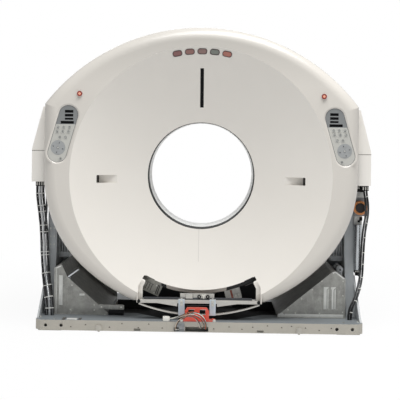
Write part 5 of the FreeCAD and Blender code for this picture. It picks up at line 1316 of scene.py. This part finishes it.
# %% Stand fittings
stand_front = face_at("left_stand", -1015, 560).y
piece_of("left_stand_plate", "base", "stand_paint", [
    ((-1036, stand_front - 4, 440), (-992, stand_front + 1, 640)),
], 1.0)
set_out("left_plate_screws", SMALL_SCREW,
        [(across, stand_front - 4, up) for across in (-1026, -1002) for up in (455, 515, 570, 625)],
        "base", "screw_zinc")
for side, across, along, spread in (("left", -1094, -172, 32), ("right", 1103, -235, 24)):
    left = across - spread
    piece_of(f"{side}_loom_clamp", "base", "black_plastic", [
        ((left, along - 16, 916), (across + spread, along + 16, 951)),
    ], 2.0)
    piece_of(f"{side}_loom_sockets", "base", "white_plug", [
        ((left + 6 + 16 * n, along - 19, 922), (left + 14 + 16 * n, along - 15, 944))
        for n in range(spread // 8)
    ], 0.8)
piece_of("left_box_clip", "base", "duct_sheet", [
    ([(-886, 318), (-880, 310), (-806, 366), (-812, 374)], 1, -300, -284),
    ([(-886, 318), (-866, 300), (-862, 304), (-880, 322)], 1, -300, -262),
], 0.6)
print("stand front", round(stand_front, 1))

# %% [markdown]
# ## Trim on the stand boxes
# The boxes are folded sheet. Their bent flanges catch more light than the flat faces, and the
# faces carry pressed ribs, so these are thin pieces of brighter sheet laid on the solids; their
# brightness is painted highlight.

# %% Flanges and ribs
def laid(outline, node, proud, at):
    """An outline laid on the front face of a solid, a little proud of it."""
    front = face_at(node, *at).y
    return outline, 1, front - proud, front + 0.6


piece_of("left_box_flanges", "base", "trim_sheet", [
    laid([(-969, 74), (-953, 74), (-953, 384), (-969, 377)], "left_stand_box", 2.5, (-950, 240)),
    laid([(-953, 374), (-925, 386), (-921, 398), (-953, 384)], "left_stand_box", 2.0, (-940, 300)),
], 0.6)
piece_of("left_box_ribs", "base", "trim_sheet", [
    laid(outline, "left_stand_box", 1.6, (-920, 240))
    for outline in (rectangle(-938, 130, -912, 330), rectangle(-800, 196, -765, 210))
], 1.4)
piece_of("right_box_flanges", "base", "trim_sheet", [
    laid([(524, 83), (548, 83), (893, 366), (880, 374)], "right_stand_box", 2.5, (700, 160)),
    laid(rectangle(524, 72, 966, 94), "right_stand_box", 3.0, (700, 85)),
    laid([(880, 374), (905, 381), (969, 331), (961, 326), (903, 371), (885, 366)], "right_stand_box", 2.0,
         (900, 340)),
], 0.6)
piece_of("right_box_ribs", "base", "trim_sheet", [
    laid(rectangle(left, 128, left + 32, 276), "right_stand_box", 2.4, (800, 200)) for left in (826, 874)
], 2.2)
piece_of("left_back_sheet", "base", "stand_paint", [
    ([(-986, 340), (-986, 452), (-912, 452), (-912, 408), (-924, 396), (-940, 372)], 1, 148, 152),
], 0.5)
piece_of("right_back_sheet", "base", "stand_paint", [
    ([(986, 316), (986, 452), (912, 452), (908, 372), (930, 352)], 1, 148, 152),
], 0.5)
print("pieces with the boxes' trim", len(ADDED))

# %% [markdown]
# ## Plugs and plates on the right stand
# Around the coiled lead the right stand carries grey plates and a cluster of connectors, and
# more of them sit on the bright duct below. They are a tangle in real life too, so a few dark
# blocks with pale pins stand for them. A grey cylinder with dark ends lies on the box.

# %% Right stand fittings
STAND_SIDE, PLATE_FRONT, PLATE_BACK = 1045.3, -148, -144
piece_of("right_top_connectors", "base", "black_plastic", [
    ((1048, -190, 918), (1086, -150, 951)), ((1048, -186, 904), (1112, -150, 922)),
], 1.5)
piece_of("right_end_connector", "base", "grey_bracket", [
    ((1112, -214, 914), (1129, -180, 951)),
], 1.5)
piece_of("right_knots", "base", "black_plastic", [
    ((1084, -154, 706), (1104, -140, 732)), ((1072, -156, 694), (1090, -142, 710)),
], 3.0)
piece_of("right_top_pins", "base", "white_plug", [
    ((1050 + 9 * n, -192.5, 926), (1056 + 9 * n, -189, 944)) for n in range(3)
], 0.6)
# The plates take the brighter trim sheet: painted light on plates that stand in shade.
piece_of("right_top_plate", "base", "trim_sheet", [
    ((STAND_SIDE, PLATE_FRONT, 850), (1112, PLATE_BACK, 914)),
    ((STAND_SIDE, PLATE_FRONT, 664), (1102, PLATE_BACK, 745)),
    ((STAND_SIDE, PLATE_FRONT, 862), (1049, -60, 914)), ((STAND_SIDE, PLATE_FRONT, 670), (1049, -60, 738)),
], 0.6)
set_out("right_plate_screws", SMALL_SCREW,
        [(across, PLATE_FRONT, up) for across, up in ((1056, 900), (1078, 875), (1056, 725), (1068, 682))],
        "base", "screw_zinc")
piece_of("duct_connectors", "base", "black_plastic", [
    ((1052, -176, 352), (1094, -120, 375.5)), ((1056, -182, 336), (1072, -150, 356)),
    ((1076, -180, 330), (1090, -148, 356)),
], 1.5)
piece_of("duct_pins", "base", "white_plug", [
    ((1056 + 10 * n, -178.5, 358), (1062 + 10 * n, -175, 368)) for n in range(4)
], 0.6)
ACTUATOR = (938, 388)
piece_of("actuator_body", "base", "grey_bracket", [
    (disc(*ACTUATOR, 22, 28), 1, -262, -120), (disc(*ACTUATOR, 13, 24), 1, -276, -261),
    ((920, -250, 345), (956, -140, 384)),
], 1.2)
piece_of("actuator_ends", "base", "black_plastic", [
    (disc(*ACTUATOR, 23.5, 28), 1, -214, -200), (disc(*ACTUATOR, 6, 18), 1, -280, -275),
], 0.8)
print("pieces with the right stand", len(ADDED))

# %% [markdown]
# ## Dimples along the base's front
# The long front beam has small holes and dents at uneven distances. They are dark triangles a
# fraction of a millimetre thick, whose darkness is painted shade in the hollows, spread by a seeded
# random draw so that every run is the same.
# Nothing is set out after them, so the shapes that were copied can go.

# %% Dimples
DIMPLE_STEP, DIMPLE_FRONT, DIMPLE_HEIGHTS = 84, -480.4, (28, 42, 52)
LOCK_CENTRE, LOCK_HALF, SLOT_CENTRE, SLOT_HALF = -10, 110, 645, 30
dimple = pattern("dimple_shape", [([(-6.5, -3), (6.5, -3), (0, 5)], 2, -0.3, 0.5)], 0.2)
spots = []
random.seed(4)
for across in range(-820, 861, DIMPLE_STEP):
    if abs(across - LOCK_CENTRE) > LOCK_HALF and abs(abs(across) - SLOT_CENTRE) > SLOT_HALF:
        spots.append((across + random.uniform(-12, 12), DIMPLE_FRONT, random.choice(DIMPLE_HEIGHTS)))
set_out("base_dimples", dimple, spots, "base", "seam_shadow", spin=0.0)
print("added pieces", len(ADDED))

for shape in PATTERNS:
    bpy.data.objects.remove(shape)

# %% [markdown]
# ## Floor and light
# The photograph is cut out on white. A pale floor catches a soft shadow, and camera rays see it
# mostly as plain white, while its own colour still bounces light up under the machine. The sky
# is a plain soft white, with one broad lamp high in front and a weaker one behind.

# %% Floor
FLOOR_SIZE, FLOOR_THICK = 60000, 20
UNDER_HALF_X, UNDER_HALF_Y, UNDER_FADE_X, UNDER_FADE_Y = 1.03, 0.47, 10.0, 14.0
WHITE_NEAR, WHITE_MORE, WHITE_FAR_FROM, WHITE_FADE = 0.92, 0.08, 1.5, 0.8


def rays_of(tree, *kinds):
    """A mask of the rays of these kinds."""
    rays = tree.nodes.new("ShaderNodeLightPath").outputs
    seen = Value(tree, rays[kinds[0]])
    for kind in kinds[1:]:
        seen = seen.larger(rays[kind])
    return seen


def whitened(tree, colour, share):
    """Diffuse colour that camera and glossy rays see mostly as plain white."""
    matt = new_node(tree, "ShaderNodeBsdfDiffuse", {"Color": colour})
    glow = new_node(tree, "ShaderNodeEmission", {"Color": (1, 1, 1, 1), "Strength": 1.0})
    seen = rays_of(tree, "Is Camera Ray", "Is Glossy Ray", "Is Transmission Ray")
    blend = new_node(tree, "ShaderNodeMixShader", {0: seen * share, 1: matt.outputs[0], 2: glow.outputs[0]})
    new_node(tree, "ShaderNodeOutputMaterial", {0: blend.outputs[0]})


work = bmesh.new()
prism(work, oblong(FLOOR_SIZE, FLOOR_SIZE), 2, -FLOOR_THICK, 0)
mesh = bpy.data.meshes.new("floor")
work.to_mesh(mesh)
work.free()
floor = new_object("floor", mesh)
floor_paint = bpy.data.materials.new("floor_paint")
floor_paint.use_nodes = True
tree = floor_paint.node_tree
tree.nodes.clear()
place = split(tree, object_place(tree))
wide, deep = abs(place.x), abs(place.y)
under = ((UNDER_HALF_X - wide) * UNDER_FADE_X).clamped() * ((UNDER_HALF_Y - deep) * UNDER_FADE_Y).clamped()
open_floor = 1.0 - under
share = ((wide.larger(deep) - WHITE_FAR_FROM) * WHITE_FADE).clamped() * WHITE_MORE + WHITE_NEAR
# Painted shadow: under the machine the floor's colour is dark grey, and camera rays see that colour there.
shade = mixed(tree, open_floor, (0.12, 0.12, 0.12, 1), (0.84, 0.84, 0.84, 1))
whitened(tree, shade, open_floor * share)
floor.data.materials.append(floor_paint)

# %% Sky and lamps
SKY_STRENGTH, KEY_WATTS, BACK_WATTS = 0.40, 312, 36
world = bpy.data.worlds.new("sky")
bpy.context.scene.world = world
world.use_nodes = True
sky = world.node_tree
sky.nodes.clear()
light = new_node(sky, "ShaderNodeBackground", {"Color": (0.97, 0.985, 1.0, 1), "Strength": SKY_STRENGTH})
white = new_node(sky, "ShaderNodeBackground", {"Color": (1, 1, 1, 1), "Strength": 1.0})
seen = rays_of(sky, "Is Camera Ray", "Is Transmission Ray")
choose = new_node(sky, "ShaderNodeMixShader", {0: seen, 1: light.outputs[0], 2: white.outputs[0]})
new_node(sky, "ShaderNodeOutputWorld", {0: choose.outputs[0]})


def soft_lamp(name, place, towards, size, watts):
    lamp = new_object(name, bpy.data.lights.new(name, "AREA"))
    lamp.data.shape = "RECTANGLE"
    lamp.data.size, lamp.data.size_y = size
    lamp.data.energy = watts
    direction = Vector(towards) - Vector(place)
    lamp.matrix_world = Matrix.Translation(place) @ direction.to_track_quat("-Z", "Y").to_matrix().to_4x4()


soft_lamp("key_lamp", (0.8, -1.7, 5.6), (0, -0.5, 0.6), (4.4, 2.6), KEY_WATTS)
soft_lamp("back_lamp", (-0.4, 4.0, 2.8), (0, 0, 0.9), (3.0, 1.6), BACK_WATTS)
print("lamps", KEY_WATTS, BACK_WATTS, "watts")
